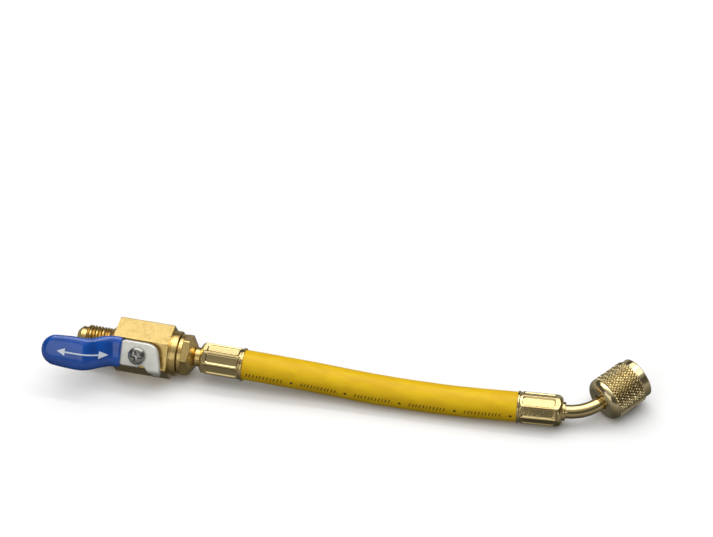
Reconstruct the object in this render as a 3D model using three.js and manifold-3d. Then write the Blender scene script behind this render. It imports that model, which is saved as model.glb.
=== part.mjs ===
// Refrigerant charging hose with a shut-off ball valve at one end and a 45 degree swivel nut at the
// other. Millimetres, +Z up. +X runs along the valve, from its flare thread towards the hose. The
// origin lies on the bottom flat of the valve's hexagon, straight below the centre of the ball.
import * as THREE from "three";
import { mergeVertices } from "three/addons/utils/BufferGeometryUtils.js";
import Module from "manifold-3d";

// Driving dimensions
const CLEARANCE = 0.3; // between any two pieces
const ROUND_SIDES = 24; // sides of a turned surface
const FINE_SIDES = 16; // sides of a small one
const BALL_RINGS = 10;

const THREAD_MAJOR = 11.11; // 7/16-20 UNF
const THREAD_PITCH = 1.27;
const THREAD_DEPTH = 0.78;
const FLARE_THREAD_LENGTH = 8.7;
const FLARE_NOSE_DIAMETER = 9.2;
const FLARE_NOSE_LENGTH = 2.3;
const FLARE_TIP_DIAMETER = 6;
const PORT_DIAMETER = 4.8;

const BODY_ACROSS_FLATS = 19.05; // 3/4 in bar
const BODY_LENGTH = 22;
const BODY_END_CHAMFER = 1.3;
const NECK_LENGTH = 3.6;
const NECK_DIAMETER = 10.6;
const NECK_SHOULDER_DIAMETER = 17.2;
const COLLAR_DIAMETER = 17.6;
const COLLAR_LENGTH = 2.4;
const COLLAR_GROOVE = 0.7;
const COLLAR_GROOVE_DEPTH = 0.35;
const BODY_THREAD_DIAMETER = 12.4; // where the end fitting screws in

const BALL_DIAMETER = 10;
const BALL_SLOT_DEPTH = 1.9;
const SEAT_THICKNESS = 4.05; // from the middle of the ball's cup to its back is this and more
const SEAT_START = 2.25;
const SEAT_BORE = 5.2;

const LEVER_TILT = 30; // degrees that the lever's face looks up
const STEM_DIAMETER = 4.2;
const STEM_SHOULDER_DIAMETER = 5.8;
const STEM_SHOULDER_LENGTH = 1;
const STEM_SQUARE = 3.2;
const TANG_THICKNESS = 1.6;
const TANG_WIDTH = 4.2;
const GLAND_DIAMETER = 8;
const GLAND_DEPTH = 1.6; // sunk into the flat
const GLAND_STANDOFF = 1.3; // proud of the flat

const LEVER_THICKNESS = 1.8;
const HEAD_TOP = 5.3; // lever outline, from the stem's axis
const HEAD_BOTTOM = 4.9;
const HEAD_RIGHT = 8.7;
const HEAD_CORNER = 4.6;
const NOTCH_LEFT = 0.9;
const NOTCH_RIGHT = 2.7;
const NOTCH_DEPTH = 0.9;
const ARM_WIDTH = 9.4;
const ARM_TIP = 36;
const JOGGLE_START = 9; // where the arm leaves the head's plane
const JOGGLE_END = 21;
const JOGGLE_OUT = 7;
const JOGGLE_DOWN = 1.5;
const TAB_BEND = 50; // degrees
const TAB_LENGTH = 3.3;
const TAB_ROOT_LEFT = 3.6;
const GRIP_START = 6.5;
const GRIP_WALL = 1.1;

const SCREW_HEAD_DIAMETER = 6.9;
const SCREW_HEAD_HEIGHT = 2.2;
const SCREW_DIAMETER = 2;
const SCREW_LENGTH = 5;
const RECESS_WIDTH = 0.9;
const RECESS_SPAN = 3.9;
const RECESS_DEPTH = 1.2;

const SPIGOT_DIAMETER = BODY_THREAD_DIAMETER - 2 * CLEARANCE;
const FLANGE_DIAMETER = 15.8;
const FLANGE_LENGTH = 1.5;
const WRENCH_ACROSS_FLATS = 14.29; // 9/16 in
const WRENCH_LENGTH = 2.8;
const WRENCH_TURN = 4; // degrees
const CONE_LENGTH = 2.1;
const CONE_END_DIAMETER = 8.6;
const FITTING_NECK_DIAMETER = 7.6;
const FITTING_NECK_LENGTH = 2;
const BARB_DIAMETER = 5.8;
const BARB_PITCH = 3;
const BARB_STEP = 0.35;
const BARB_BORE = 3.4;

const FERRULE_LENGTH = 17.5;
const FERRULE_ACROSS_FLATS = 11.9;
const FERRULE_MOUTH_DIAMETER = 13;
const FERRULE_MOUTH_LENGTH = 1;
const FERRULE_WALL = 0.95;
const FERRULE_END_WALL = 1.5;
const FERRULE_SHOULDER_LENGTH = 1.8;
const FERRULE_SHOULDER_DIAMETER = 10.2;
const FERRULE_RING_DIAMETER = 8.4;
const FERRULE_RING_LENGTH = 1.2;
const CRIMP_FACES = 8;
const CRIMP_MARK_LENGTH = 11;
const CRIMP_MARK_WIDTH = 2.9;
const CRIMP_MARK_DEPTH = 0.28;
const VALVE_FERRULE_TURN = 2; // degrees
const ELBOW_FERRULE_TURN = 4;

const HOSE_DIAMETER = 11.8;
const HOSE_SIDES = 12;
const HOSE_STEPS = 26;
const BARB_REACH = 13; // of each barb into the hose
// The middle of the hose, from the mouth of one ferrule to the mouth of the other
const HOSE_ROUTE = [
  [40.3, 0, 9.525],
  [44, 0, 9.5],
  [50, 0.15, 9.3],
  [58, 0.55, 8.75],
  [66, 1.05, 8.1],
  [74, 1.4, 7.45],
  [82, 1.6, 6.9],
  [90, 1.75, 6.5],
  [98, 1.95, 6.25],
  [106, 2.2, 6.12],
  [114, 2.5, 6.1],
  [122, 2.85, 6.15],
  [130, 3.3, 6.35],
  [138, 3.85, 6.65],
  [144, 4.3, 6.85],
  [148.2, 4.7, 6.9],
];

const ELBOW_FERRULE_HEADING = 5.6; // degrees from +X towards +Y
const ELBOW_ROLL = 14.5; // degrees that the bend is rolled up off the floor
const TUBE_DIAMETER = 5.4;
const TUBE_BORE = 3.8;
const ELBOW_ANGLE = 45;
const ELBOW_RADIUS = 15;
const ELBOW_LEAD = 1.4; // straight tube between the ferrule's ring and the bend
const ELBOW_RUN = 1.8; // straight tube between the bend and the nut
const TUBE_COLLAR_DIAMETER = 9.2;
const TUBE_COLLAR_LENGTH = 1.8;

const NUT_LENGTH = 18.8;
const NUT_DIAMETER = 17.5;
const NUT_BACK_BEVEL = 2.7;
const NUT_BACK_DIAMETER = 11.6;
const NUT_KNURL_LENGTH = 12.6;
const NUT_BAND_DIAMETER = 16.3;
const NUT_BACK_WALL = 4.2;
const NUT_TUBE_CLEARANCE = 0.4;
const NUT_THREAD_RUNOUT = 0.8;
const GASKET_LENGTH = 2.4;
const GASKET_BORE = 4.8;
const DEPRESSOR_DISC_LENGTH = 2;
const DEPRESSOR_PIN_DIAMETER = 1.4;
const DEPRESSOR_PIN_REACH = 1.6; // past the gasket

// Values worked out from them
const AXIS_HEIGHT = BODY_ACROSS_FLATS / 2;
const BODY_END = BODY_LENGTH / 2;
const THREAD_END = -BODY_END - NECK_LENGTH;
const THREAD_START = THREAD_END - FLARE_THREAD_LENGTH;
const NOSE_CONE = (FLARE_NOSE_DIAMETER - FLARE_TIP_DIAMETER) / 2; // 45 degrees
const COLLAR_START = BODY_END + COLLAR_GROOVE;
const COLLAR_END = COLLAR_START + COLLAR_LENGTH;
const CAVITY_RADIUS = BALL_DIAMETER / 2 + CLEARANCE;
const SEAT_END = SEAT_START + SEAT_THICKNESS;
const FLANGE_START = COLLAR_END + CLEARANCE;
const WRENCH_START = FLANGE_START + FLANGE_LENGTH;
const CONE_START = WRENCH_START + WRENCH_LENGTH;
const FITTING_NECK_START = CONE_START + CONE_LENGTH;
const VALVE_FERRULE_MOUTH = FITTING_NECK_START + FITTING_NECK_LENGTH + FERRULE_LENGTH;
const GLAND_BOTTOM = AXIS_HEIGHT - GLAND_DEPTH;
const GLAND_TOP = AXIS_HEIGHT + GLAND_STANDOFF;
const PLATE_INNER = GLAND_TOP + CLEARANCE;
const PLATE_OUTER = PLATE_INNER + LEVER_THICKNESS;
const STEM_TOP = PLATE_OUTER - CLEARANCE;
const TANG_TOP = BALL_DIAMETER / 2 + 2 * CLEARANCE;
const TANG_BOTTOM = BALL_DIAMETER / 2 - BALL_SLOT_DEPTH + CLEARANCE;
const CRIMPED_HOSE_RADIUS = FERRULE_ACROSS_FLATS / 2 - FERRULE_WALL - CLEARANCE;
const FERRULE_CAVITY_END = FERRULE_LENGTH - FERRULE_END_WALL;
const ELBOW_START = FERRULE_LENGTH + FERRULE_RING_LENGTH + ELBOW_LEAD;

const wasm = await Module();
wasm.setup();

const radians = THREE.MathUtils.degToRad;
const turnToX = new THREE.Matrix4().makeBasis(
  new THREE.Vector3(0, 1, 0),
  new THREE.Vector3(0, 0, 1),
  new THREE.Vector3(1, 0, 0),
);

// A closed geometry as a solid that can be joined and cut. Its corners are rounded to a ten
// thousandth of a millimetre, so that faces meant to lie in one plane do.
function solid(geometry) {
  const bare = geometry.clone();
  bare.deleteAttribute("normal");
  bare.deleteAttribute("uv");
  const places = bare.attributes.position.array;
  places.forEach((place, i) => (places[i] = Math.round(place * 1e4) / 1e4));
  const merged = mergeVertices(bare, 1e-4);
  const corners = Array.from(merged.index.array);
  const kept = [];
  for (let i = 0; i < corners.length; i += 3) {
    const [a, b, c] = corners.slice(i, i + 3);
    if (a !== b && b !== c && c !== a) kept.push(a, b, c);
  }
  return new wasm.Manifold(
    new wasm.Mesh({
      numProp: 3,
      vertProperties: new Float32Array(merged.attributes.position.array),
      triVerts: new Uint32Array(kept),
    }),
  );
}

// A solid as a geometry that can be drawn
function geometryOf(body) {
  const mesh = body.getMesh();
  const geometry = new THREE.BufferGeometry();
  geometry.setAttribute("position", new THREE.BufferAttribute(mesh.vertProperties, 3));
  geometry.setIndex(new THREE.BufferAttribute(mesh.triVerts, 1));
  const faceted = geometry.toNonIndexed();
  faceted.computeVertexNormals();
  return faceted;
}

// Turned about X: [x, radius] points, outside with x rising, inside with x falling
function turned(profile, sides = ROUND_SIDES) {
  const points = profile.map(([x, radius]) => new THREE.Vector2(radius, x));
  return solid(new THREE.LatheGeometry(points, sides).rotateZ(-Math.PI / 2));
}

// A turned solid that is full to its axis
function rod(profile, sides) {
  return turned([[profile[0][0], 0], ...profile, [profile.at(-1)[0], 0]], sides);
}

function cylinder(start, end, diameter, sides) {
  return rod([[start, diameter / 2], [end, diameter / 2]], sides);
}

// Turned about the stem's axis: [distance from the ball's centre, radius] points
function stemRod(profile, sides = FINE_SIDES) {
  const points = [[profile[0][0], 0], ...profile, [profile.at(-1)[0], 0]];
  const lathe = new THREE.LatheGeometry(points.map(([w, radius]) => new THREE.Vector2(radius, w)), sides);
  return solid(lathe.rotateX(Math.PI / 2));
}

// A regular prism along X. turn is the angle of one flat's normal, from +Y towards +Z
function prism(faces, acrossFlats, start, end, turn) {
  const radius = acrossFlats / 2 / Math.cos(Math.PI / faces);
  const shape = new THREE.Shape();
  for (let i = 0; i < faces; i++) {
    const angle = radians(turn) + ((i + 0.5) * 2 * Math.PI) / faces;
    const corner = [radius * Math.cos(angle), radius * Math.sin(angle)];
    if (i === 0) shape.moveTo(...corner);
    else shape.lineTo(...corner);
  }
  shape.closePath();
  const bar = new THREE.ExtrudeGeometry(shape, { depth: end - start, bevelEnabled: false });
  return solid(bar.applyMatrix4(turnToX).translate(start, 0, 0));
}

function box(size, centre) {
  return solid(new THREE.BoxGeometry(...size).translate(...centre));
}

// Ring-shaped thread crests between two places on X, from one radius to another and back
function threadCrests(start, end, rootRadius, crestRadius) {
  const count = Math.max(1, Math.floor((end - start) / THREAD_PITCH));
  const step = (end - start) / count;
  const points = [];
  for (let i = 0; i < count; i++) {
    const x = start + i * step;
    points.push([x + 0.05 * step, rootRadius]);
    points.push([x + 0.43 * step, crestRadius]);
    points.push([x + 0.57 * step, crestRadius]);
  }
  points.push([end - 0.05 * step, rootRadius]);
  return points;
}

// Barb teeth from the open end of a barb back to its root
function barbTeeth(tip, root, diameter) {
  const away = Math.sign(root - tip);
  const count = Math.max(1, Math.floor((Math.abs(root - tip) - 1) / BARB_PITCH));
  const points = [[tip, diameter / 2 - BARB_STEP]];
  for (let i = 1; i <= count; i++) {
    const x = tip + away * i * BARB_PITCH;
    points.push([x - away * 0.1, diameter / 2]);
    points.push([x, diameter / 2 - BARB_STEP]);
  }
  return points;
}

function makeValveBody() {
  const seatStop = SEAT_END + CLEARANCE;
  const turnedPart = rod([
    [THREAD_START - FLARE_NOSE_LENGTH - NOSE_CONE, FLARE_TIP_DIAMETER / 2],
    [THREAD_START - FLARE_NOSE_LENGTH, FLARE_NOSE_DIAMETER / 2],
    [THREAD_START, FLARE_NOSE_DIAMETER / 2],
    ...threadCrests(THREAD_START, THREAD_END, THREAD_MAJOR / 2 - THREAD_DEPTH, THREAD_MAJOR / 2),
    [THREAD_END, NECK_DIAMETER / 2],
    [THREAD_END + NECK_LENGTH * 0.45, NECK_DIAMETER / 2 + 0.5],
    [-BODY_END, NECK_SHOULDER_DIAMETER / 2],
    [BODY_END, NECK_SHOULDER_DIAMETER / 2],
    [BODY_END, COLLAR_DIAMETER / 2 - COLLAR_GROOVE_DEPTH],
    [COLLAR_START, COLLAR_DIAMETER / 2 - COLLAR_GROOVE_DEPTH],
    [COLLAR_START, COLLAR_DIAMETER / 2],
    [COLLAR_END, COLLAR_DIAMETER / 2],
  ]);
  const corner = BODY_ACROSS_FLATS / Math.sqrt(3);
  const chamfered = rod([
    [-BODY_END, corner - 0.75 * BODY_END_CHAMFER],
    [-BODY_END + BODY_END_CHAMFER, corner + 0.1],
    [BODY_END - 0.3, corner + 0.1],
    [BODY_END, corner - 0.3],
  ]);
  const hexagon = prism(6, BODY_ACROSS_FLATS, -BODY_END, BODY_END, 30).intersect(chamfered);
  const port = cylinder(-60, 0, PORT_DIAMETER, FINE_SIDES);
  const cavity = cylinder(-seatStop, COLLAR_END + 1, 2 * CAVITY_RADIUS);
  const fittingBore = cylinder(SEAT_END, COLLAR_END + 1, BODY_THREAD_DIAMETER);
  return turnedPart.add(hexagon).subtract(port).subtract(cavity).subtract(fittingBore);
}

// The bores of the stem, its shoulder and its gland, about the stem's axis
function makeStemBore() {
  const shoulderTop = TANG_TOP + STEM_SHOULDER_LENGTH + CLEARANCE;
  return stemRod([
    [0, STEM_SHOULDER_DIAMETER / 2 + CLEARANCE],
    [shoulderTop, STEM_SHOULDER_DIAMETER / 2 + CLEARANCE],
    [shoulderTop, STEM_DIAMETER / 2 + CLEARANCE],
    [GLAND_BOTTOM - CLEARANCE, STEM_DIAMETER / 2 + CLEARANCE],
    [GLAND_BOTTOM - CLEARANCE, GLAND_DIAMETER / 2 + CLEARANCE],
    [GLAND_TOP + 5, GLAND_DIAMETER / 2 + CLEARANCE],
  ]);
}

function makeBall() {
  const sphere = solid(new THREE.SphereGeometry(BALL_DIAMETER / 2, FINE_SIDES, BALL_RINGS));
  const port = cylinder(-BALL_DIAMETER, BALL_DIAMETER, PORT_DIAMETER, FINE_SIDES);
  const slot = box(
    [TANG_THICKNESS + 2 * CLEARANCE, 2 * BALL_DIAMETER, BALL_DIAMETER],
    [0, 0, TANG_BOTTOM - CLEARANCE + BALL_DIAMETER / 2],
  );
  return sphere.subtract(port).subtract(slot);
}

// A ring with a ball-shaped cup. side is -1 for the inlet's, 1 for the outlet's
function makeSeat(side) {
  const outer = CAVITY_RADIUS - CLEARANCE;
  const ring = turned([
    [SEAT_START, outer],
    [SEAT_END, outer],
    [SEAT_END, SEAT_BORE / 2],
    [SEAT_START, SEAT_BORE / 2],
    [SEAT_START, outer],
  ], FINE_SIDES);
  const cup = solid(new THREE.SphereGeometry(BALL_DIAMETER / 2 + CLEARANCE, FINE_SIDES, BALL_RINGS));
  const seat = ring.subtract(cup);
  return side > 0 ? seat : seat.rotate([0, 0, 180]);
}

function makeStem() {
  const shoulderTop = TANG_TOP + STEM_SHOULDER_LENGTH;
  const shaft = stemRod([
    [TANG_TOP, STEM_SHOULDER_DIAMETER / 2],
    [shoulderTop, STEM_SHOULDER_DIAMETER / 2],
    [shoulderTop, STEM_DIAMETER / 2],
    [PLATE_INNER, STEM_DIAMETER / 2],
  ]);
  const tangHeight = TANG_TOP - TANG_BOTTOM + 0.5;
  const tang = box([TANG_THICKNESS, TANG_WIDTH, tangHeight], [0, 0, TANG_BOTTOM + tangHeight / 2]);
  const squareHeight = STEM_TOP - PLATE_INNER + 0.5;
  const square = box([STEM_SQUARE, STEM_SQUARE, squareHeight], [0, 0, STEM_TOP - squareHeight / 2]);
  const screwHole = stemRod([
    [PLATE_OUTER + CLEARANCE - SCREW_LENGTH - CLEARANCE, SCREW_DIAMETER / 2 + CLEARANCE],
    [STEM_TOP + 1, SCREW_DIAMETER / 2 + CLEARANCE],
  ]);
  return shaft.add(tang).add(square).subtract(screwHole);
}

function makeGland() {
  const ring = stemRod([[GLAND_BOTTOM, GLAND_DIAMETER / 2], [GLAND_TOP, GLAND_DIAMETER / 2]]);
  const boreRadius = STEM_DIAMETER / 2 + CLEARANCE;
  return ring.subtract(stemRod([[GLAND_BOTTOM - 1, boreRadius], [GLAND_TOP + 1, boreRadius]]));
}

// 0 where the arm leaves the head's plane, 1 where its bend ends
function joggle(along) {
  const share = THREE.MathUtils.clamp((along - JOGGLE_START) / (JOGGLE_END - JOGGLE_START), 0, 1);
  return (1 - Math.cos(Math.PI * share)) / 2;
}

// The arm's outline seen along the stem, grown by a margin on its sides and tip
function armOutline(margin, start) {
  const half = ARM_WIDTH / 2 + margin;
  const tip = ARM_TIP + margin;
  const shape = new THREE.Shape();
  const places = [start, JOGGLE_START, 12, 15, 18, JOGGLE_END, tip - half];
  const edge = (along, side) => [-along, side * half - JOGGLE_DOWN * joggle(along)];
  shape.moveTo(...edge(start, -1));
  shape.lineTo(...edge(start, 1));
  places.slice(1).forEach((along) => shape.lineTo(...edge(along, 1)));
  shape.absarc(-(tip - half), -JOGGLE_DOWN, half, Math.PI / 2, 1.5 * Math.PI, false);
  places.slice(1, -1).reverse().forEach((along) => shape.lineTo(...edge(along, -1)));
  shape.closePath();
  return shape;
}

// The arm seen from the side, as a bent strip of one thickness, cut to its outline
function armStrip(thickness, margin, start) {
  const middle = (PLATE_INNER + PLATE_OUTER) / 2;
  const reach = ARM_TIP + margin + 1;
  const bends = Array.from({ length: 11 }, (_, i) => THREE.MathUtils.lerp(JOGGLE_START, JOGGLE_END, i / 10));
  const places = [start, ...bends, reach];
  const centre = (along) => new THREE.Vector2(along, middle + JOGGLE_OUT * joggle(along));
  const offset = (along, side) => {
    const slope = centre(along + 0.01).sub(centre(along - 0.01)).normalize();
    return centre(along).add(new THREE.Vector2(-slope.y, slope.x).multiplyScalar((side * thickness) / 2));
  };
  const upper = places.map((along) => offset(along, 1));
  const lower = places.map((along) => offset(along, -1)).reverse();
  const side = new THREE.ExtrudeGeometry(new THREE.Shape([...upper, ...lower]), {
    depth: 4 * ARM_WIDTH,
    bevelEnabled: false,
  });
  const standing = new THREE.Matrix4().makeBasis(
    new THREE.Vector3(-1, 0, 0),
    new THREE.Vector3(0, 0, 1),
    new THREE.Vector3(0, 1, 0),
  );
  const strip = solid(side.applyMatrix4(standing).translate(0, -2 * ARM_WIDTH, 0));
  const outline = new THREE.ExtrudeGeometry(armOutline(margin, start), {
    depth: 3 * JOGGLE_OUT + PLATE_OUTER,
    bevelEnabled: false,
    curveSegments: 16,
  });
  return strip.intersect(solid(outline));
}

function makeLeverPlate() {
  const head = new THREE.Shape();
  const headLeft = CLEARANCE - GRIP_START;
  head.moveTo(headLeft, HEAD_TOP);
  head.lineTo(headLeft, -HEAD_BOTTOM);
  head.lineTo(NOTCH_LEFT, -HEAD_BOTTOM);
  head.lineTo(NOTCH_LEFT + 0.3, -HEAD_BOTTOM + NOTCH_DEPTH);
  head.lineTo(NOTCH_RIGHT, -HEAD_BOTTOM + NOTCH_DEPTH);
  head.lineTo(TAB_ROOT_LEFT, -HEAD_BOTTOM);
  head.lineTo(HEAD_RIGHT, -HEAD_BOTTOM);
  head.lineTo(HEAD_RIGHT, -HEAD_BOTTOM + 1);
  head.lineTo(HEAD_RIGHT - 1, HEAD_TOP - HEAD_CORNER);
  head.quadraticCurveTo(HEAD_RIGHT - 1.6, HEAD_TOP, HEAD_RIGHT - 1.6 - HEAD_CORNER, HEAD_TOP);
  head.closePath();
  const flat = new THREE.ExtrudeGeometry(head, {
    depth: LEVER_THICKNESS,
    bevelEnabled: false,
    curveSegments: 6,
  });
  const squareSide = STEM_SQUARE + 2 * CLEARANCE;
  const squareHole = box([squareSide, squareSide, 10], [0, 0, PLATE_OUTER]);
  return solid(flat.translate(0, 0, PLATE_INNER))
    .add(armStrip(LEVER_THICKNESS, 0, GRIP_START - 2))
    .add(makeStopTab())
    .subtract(squareHole);
}

// The tab bends towards the body along the head's lower edge. Its left edge keeps clear of the
// hexagon's next flat when the lever is turned across the valve.
function makeStopTab() {
  const bend = radians(TAB_BEND);
  const flatHalf = BODY_ACROSS_FLATS / Math.sqrt(3) / 2;
  const depth = TAB_LENGTH * Math.sin(bend) - (PLATE_INNER - AXIS_HEIGHT);
  const tipLeft = flatHalf + Math.max(depth, 0) / Math.sqrt(3) + 2 * CLEARANCE;
  const drop = TAB_LENGTH * Math.cos(bend);
  const out = new THREE.Vector2(-Math.sin(bend), Math.cos(bend)).multiplyScalar(LEVER_THICKNESS);
  const side = new THREE.Shape();
  side.moveTo(1, 0);
  side.lineTo(1, LEVER_THICKNESS);
  side.absarc(0, 0, LEVER_THICKNESS, Math.PI / 2, Math.PI / 2 + bend, false);
  side.lineTo(out.x - drop, out.y - TAB_LENGTH * Math.sin(bend));
  side.lineTo(-drop, -TAB_LENGTH * Math.sin(bend));
  side.lineTo(0, 0);
  const strip = new THREE.ExtrudeGeometry(side, {
    depth: HEAD_RIGHT - TAB_ROOT_LEFT,
    bevelEnabled: false,
    curveSegments: 5,
  });
  strip.applyMatrix4(turnToX).translate(TAB_ROOT_LEFT, -HEAD_BOTTOM, PLATE_INNER);
  const outline = new THREE.Shape();
  outline.moveTo(TAB_ROOT_LEFT, 2 - HEAD_BOTTOM);
  outline.lineTo(TAB_ROOT_LEFT, -HEAD_BOTTOM);
  outline.lineTo(tipLeft, -HEAD_BOTTOM - 0.8 * drop);
  outline.lineTo(tipLeft, -HEAD_BOTTOM - 2 * TAB_LENGTH);
  outline.lineTo(HEAD_RIGHT, -HEAD_BOTTOM - 2 * TAB_LENGTH);
  outline.lineTo(HEAD_RIGHT, 2 - HEAD_BOTTOM);
  outline.closePath();
  const column = new THREE.ExtrudeGeometry(outline, { depth: 2 * PLATE_OUTER, bevelEnabled: false });
  return solid(strip).intersect(solid(column));
}

function makeLeverGrip() {
  const outside = armStrip(LEVER_THICKNESS + 2 * (CLEARANCE + GRIP_WALL), CLEARANCE + GRIP_WALL, GRIP_START);
  const pocket = armStrip(LEVER_THICKNESS + 2 * CLEARANCE, CLEARANCE, GRIP_START - 2);
  return outside.subtract(pocket);
}

function makeLeverScrew() {
  const seat = PLATE_OUTER + CLEARANCE;
  const radius = SCREW_HEAD_DIAMETER / 2;
  const screw = stemRod([
    [seat - SCREW_LENGTH, SCREW_DIAMETER / 2],
    [seat, SCREW_DIAMETER / 2],
    [seat, radius],
    [seat + 0.45 * SCREW_HEAD_HEIGHT, radius],
    [seat + 0.8 * SCREW_HEAD_HEIGHT, 0.82 * radius],
    [seat + SCREW_HEAD_HEIGHT, 0.45 * radius],
  ]);
  const top = seat + SCREW_HEAD_HEIGHT;
  const arm = box([RECESS_SPAN, RECESS_WIDTH, 2 * RECESS_DEPTH], [0, 0, top]);
  return screw.subtract(arm).subtract(arm.rotate([0, 0, 90]));
}

function makeEndFitting() {
  const ferruleInside = VALVE_FERRULE_MOUTH - FERRULE_CAVITY_END;
  const barbTip = VALVE_FERRULE_MOUTH - FERRULE_CAVITY_END + BARB_REACH;
  const outside = rod([
    [SEAT_END + CLEARANCE, SPIGOT_DIAMETER / 2],
    [FLANGE_START, SPIGOT_DIAMETER / 2],
    [FLANGE_START, FLANGE_DIAMETER / 2],
    [WRENCH_START, FLANGE_DIAMETER / 2],
    [WRENCH_START, WRENCH_ACROSS_FLATS / 2 - 0.4],
    [CONE_START, WRENCH_ACROSS_FLATS / 2 - 0.2],
    [FITTING_NECK_START, CONE_END_DIAMETER / 2],
    [FITTING_NECK_START, FITTING_NECK_DIAMETER / 2],
    [ferruleInside, FITTING_NECK_DIAMETER / 2],
    [ferruleInside, BARB_DIAMETER / 2 - BARB_STEP],
    ...barbTeeth(barbTip, ferruleInside, BARB_DIAMETER).reverse(),
  ]);
  const corner = WRENCH_ACROSS_FLATS / Math.sqrt(3);
  const chamfered = rod([
    [WRENCH_START, corner - 0.2],
    [WRENCH_START + 0.3, corner + 0.1],
    [CONE_START - 0.5, corner + 0.1],
    [CONE_START, corner - 0.8],
  ]);
  const hexagon = prism(6, WRENCH_ACROSS_FLATS, WRENCH_START, CONE_START, WRENCH_TURN);
  const bore = cylinder(0, barbTip + 1, BARB_BORE, FINE_SIDES);
  const inlet = rod([[SEAT_END, PORT_DIAMETER / 2 + 0.2], [SEAT_END + 2.5, BARB_BORE / 2]], FINE_SIDES);
  return outside.add(hexagon.intersect(chamfered)).subtract(bore).subtract(inlet);
}

// A crimped sleeve with its mouth at x = 0 and its end at +x, around a neck
function makeFerrule(turn, neckDiameter, ringed) {
  const inside = FERRULE_ACROSS_FLATS / 2 - FERRULE_WALL;
  const corner = FERRULE_ACROSS_FLATS / 2 / Math.cos(Math.PI / CRIMP_FACES) + 0.2;
  const shoulderStart = FERRULE_LENGTH - FERRULE_SHOULDER_LENGTH;
  const crimped = rod([
    [0.2, corner],
    [shoulderStart, corner],
    [FERRULE_LENGTH - 0.5, FERRULE_SHOULDER_DIAMETER / 2 + 0.5],
    [FERRULE_LENGTH, FERRULE_SHOULDER_DIAMETER / 2],
  ]).intersect(prism(CRIMP_FACES, FERRULE_ACROSS_FLATS, 0, FERRULE_LENGTH, turn));
  const mouth = rod([
    [0, FERRULE_MOUTH_DIAMETER / 2 - 0.15],
    [0.3, FERRULE_MOUTH_DIAMETER / 2],
    [FERRULE_MOUTH_LENGTH - 0.3, FERRULE_MOUTH_DIAMETER / 2],
    [FERRULE_MOUTH_LENGTH, FERRULE_MOUTH_DIAMETER / 2 - 0.4],
  ]);
  const endPlace = FERRULE_LENGTH + (ringed ? FERRULE_RING_LENGTH : 0);
  const ring = cylinder(FERRULE_LENGTH - 1, endPlace, FERRULE_RING_DIAMETER);
  const sleeve = ringed ? crimped.add(mouth).add(ring) : crimped.add(mouth);
  const hollow = rod([
    [-1, HOSE_DIAMETER / 2 + 0.1],
    [0, HOSE_DIAMETER / 2 + 0.1],
    [FERRULE_MOUTH_LENGTH, inside],
    [FERRULE_CAVITY_END, inside],
    [FERRULE_CAVITY_END, neckDiameter / 2 + CLEARANCE],
    [endPlace + 1, neckDiameter / 2 + CLEARANCE],
  ]);
  return makeCrimpMarks(turn).reduce((body, mark) => body.subtract(mark), sleeve.subtract(hollow));
}

// The shallow marks that the crimping dies leave, one on each face
function makeCrimpMarks(turn) {
  const half = CRIMP_MARK_WIDTH / 2;
  const reach = CRIMP_MARK_LENGTH / 2 - half;
  const shape = new THREE.Shape();
  shape.absarc(reach, 0, half, -Math.PI / 2, Math.PI / 2, false);
  shape.absarc(-reach, 0, half, Math.PI / 2, 1.5 * Math.PI, false);
  shape.closePath();
  const stamp = new THREE.ExtrudeGeometry(shape, { depth: 2, bevelEnabled: false, curveSegments: 4 });
  const middle = (FERRULE_MOUTH_LENGTH + FERRULE_LENGTH - FERRULE_SHOULDER_LENGTH) / 2;
  stamp.translate(middle, 0, FERRULE_ACROSS_FLATS / 2 - CRIMP_MARK_DEPTH);
  const first = solid(stamp);
  return Array.from({ length: CRIMP_FACES }, (_, i) => first.rotate([turn - 90 + (i * 360) / CRIMP_FACES, 0, 0]));
}

// The part of the hose that a ferrule holds, with its mouth at x = 0 and the barb's bore cut in
function makeCrimpedHose(barbDiameter) {
  const stub = cylinder(-2, FERRULE_CAVITY_END - CLEARANCE, 2 * CRIMPED_HOSE_RADIUS);
  const barbTip = FERRULE_CAVITY_END - BARB_REACH;
  const bore = cylinder(barbTip - CLEARANCE, FERRULE_LENGTH, barbDiameter + 2 * CLEARANCE, FINE_SIDES);
  return { stub, bore };
}

function makeHose(valveEnd, elbowEnd) {
  const route = new THREE.CatmullRomCurve3(HOSE_ROUTE.map((point) => new THREE.Vector3(...point)));
  const start = CLEARANCE / route.getLength();
  const points = Array.from({ length: 4 * HOSE_STEPS + 1 }, (_, i) => {
    return route.getPointAt(THREE.MathUtils.lerp(start, 1 - start, i / (4 * HOSE_STEPS)));
  });
  const section = new THREE.Shape();
  for (let i = 0; i < HOSE_SIDES; i++) {
    const angle = (i * 2 * Math.PI) / HOSE_SIDES;
    const corner = [(HOSE_DIAMETER / 2) * Math.cos(angle), (HOSE_DIAMETER / 2) * Math.sin(angle)];
    if (i === 0) section.moveTo(...corner);
    else section.lineTo(...corner);
  }
  section.closePath();
  const tube = solid(
    new THREE.ExtrudeGeometry(section, { steps: HOSE_STEPS, extrudePath: new THREE.CatmullRomCurve3(points) }),
  );
  return tube
    .add(valveEnd.stub)
    .add(elbowEnd.stub)
    .subtract(valveEnd.bore)
    .subtract(elbowEnd.bore);
}

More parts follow.
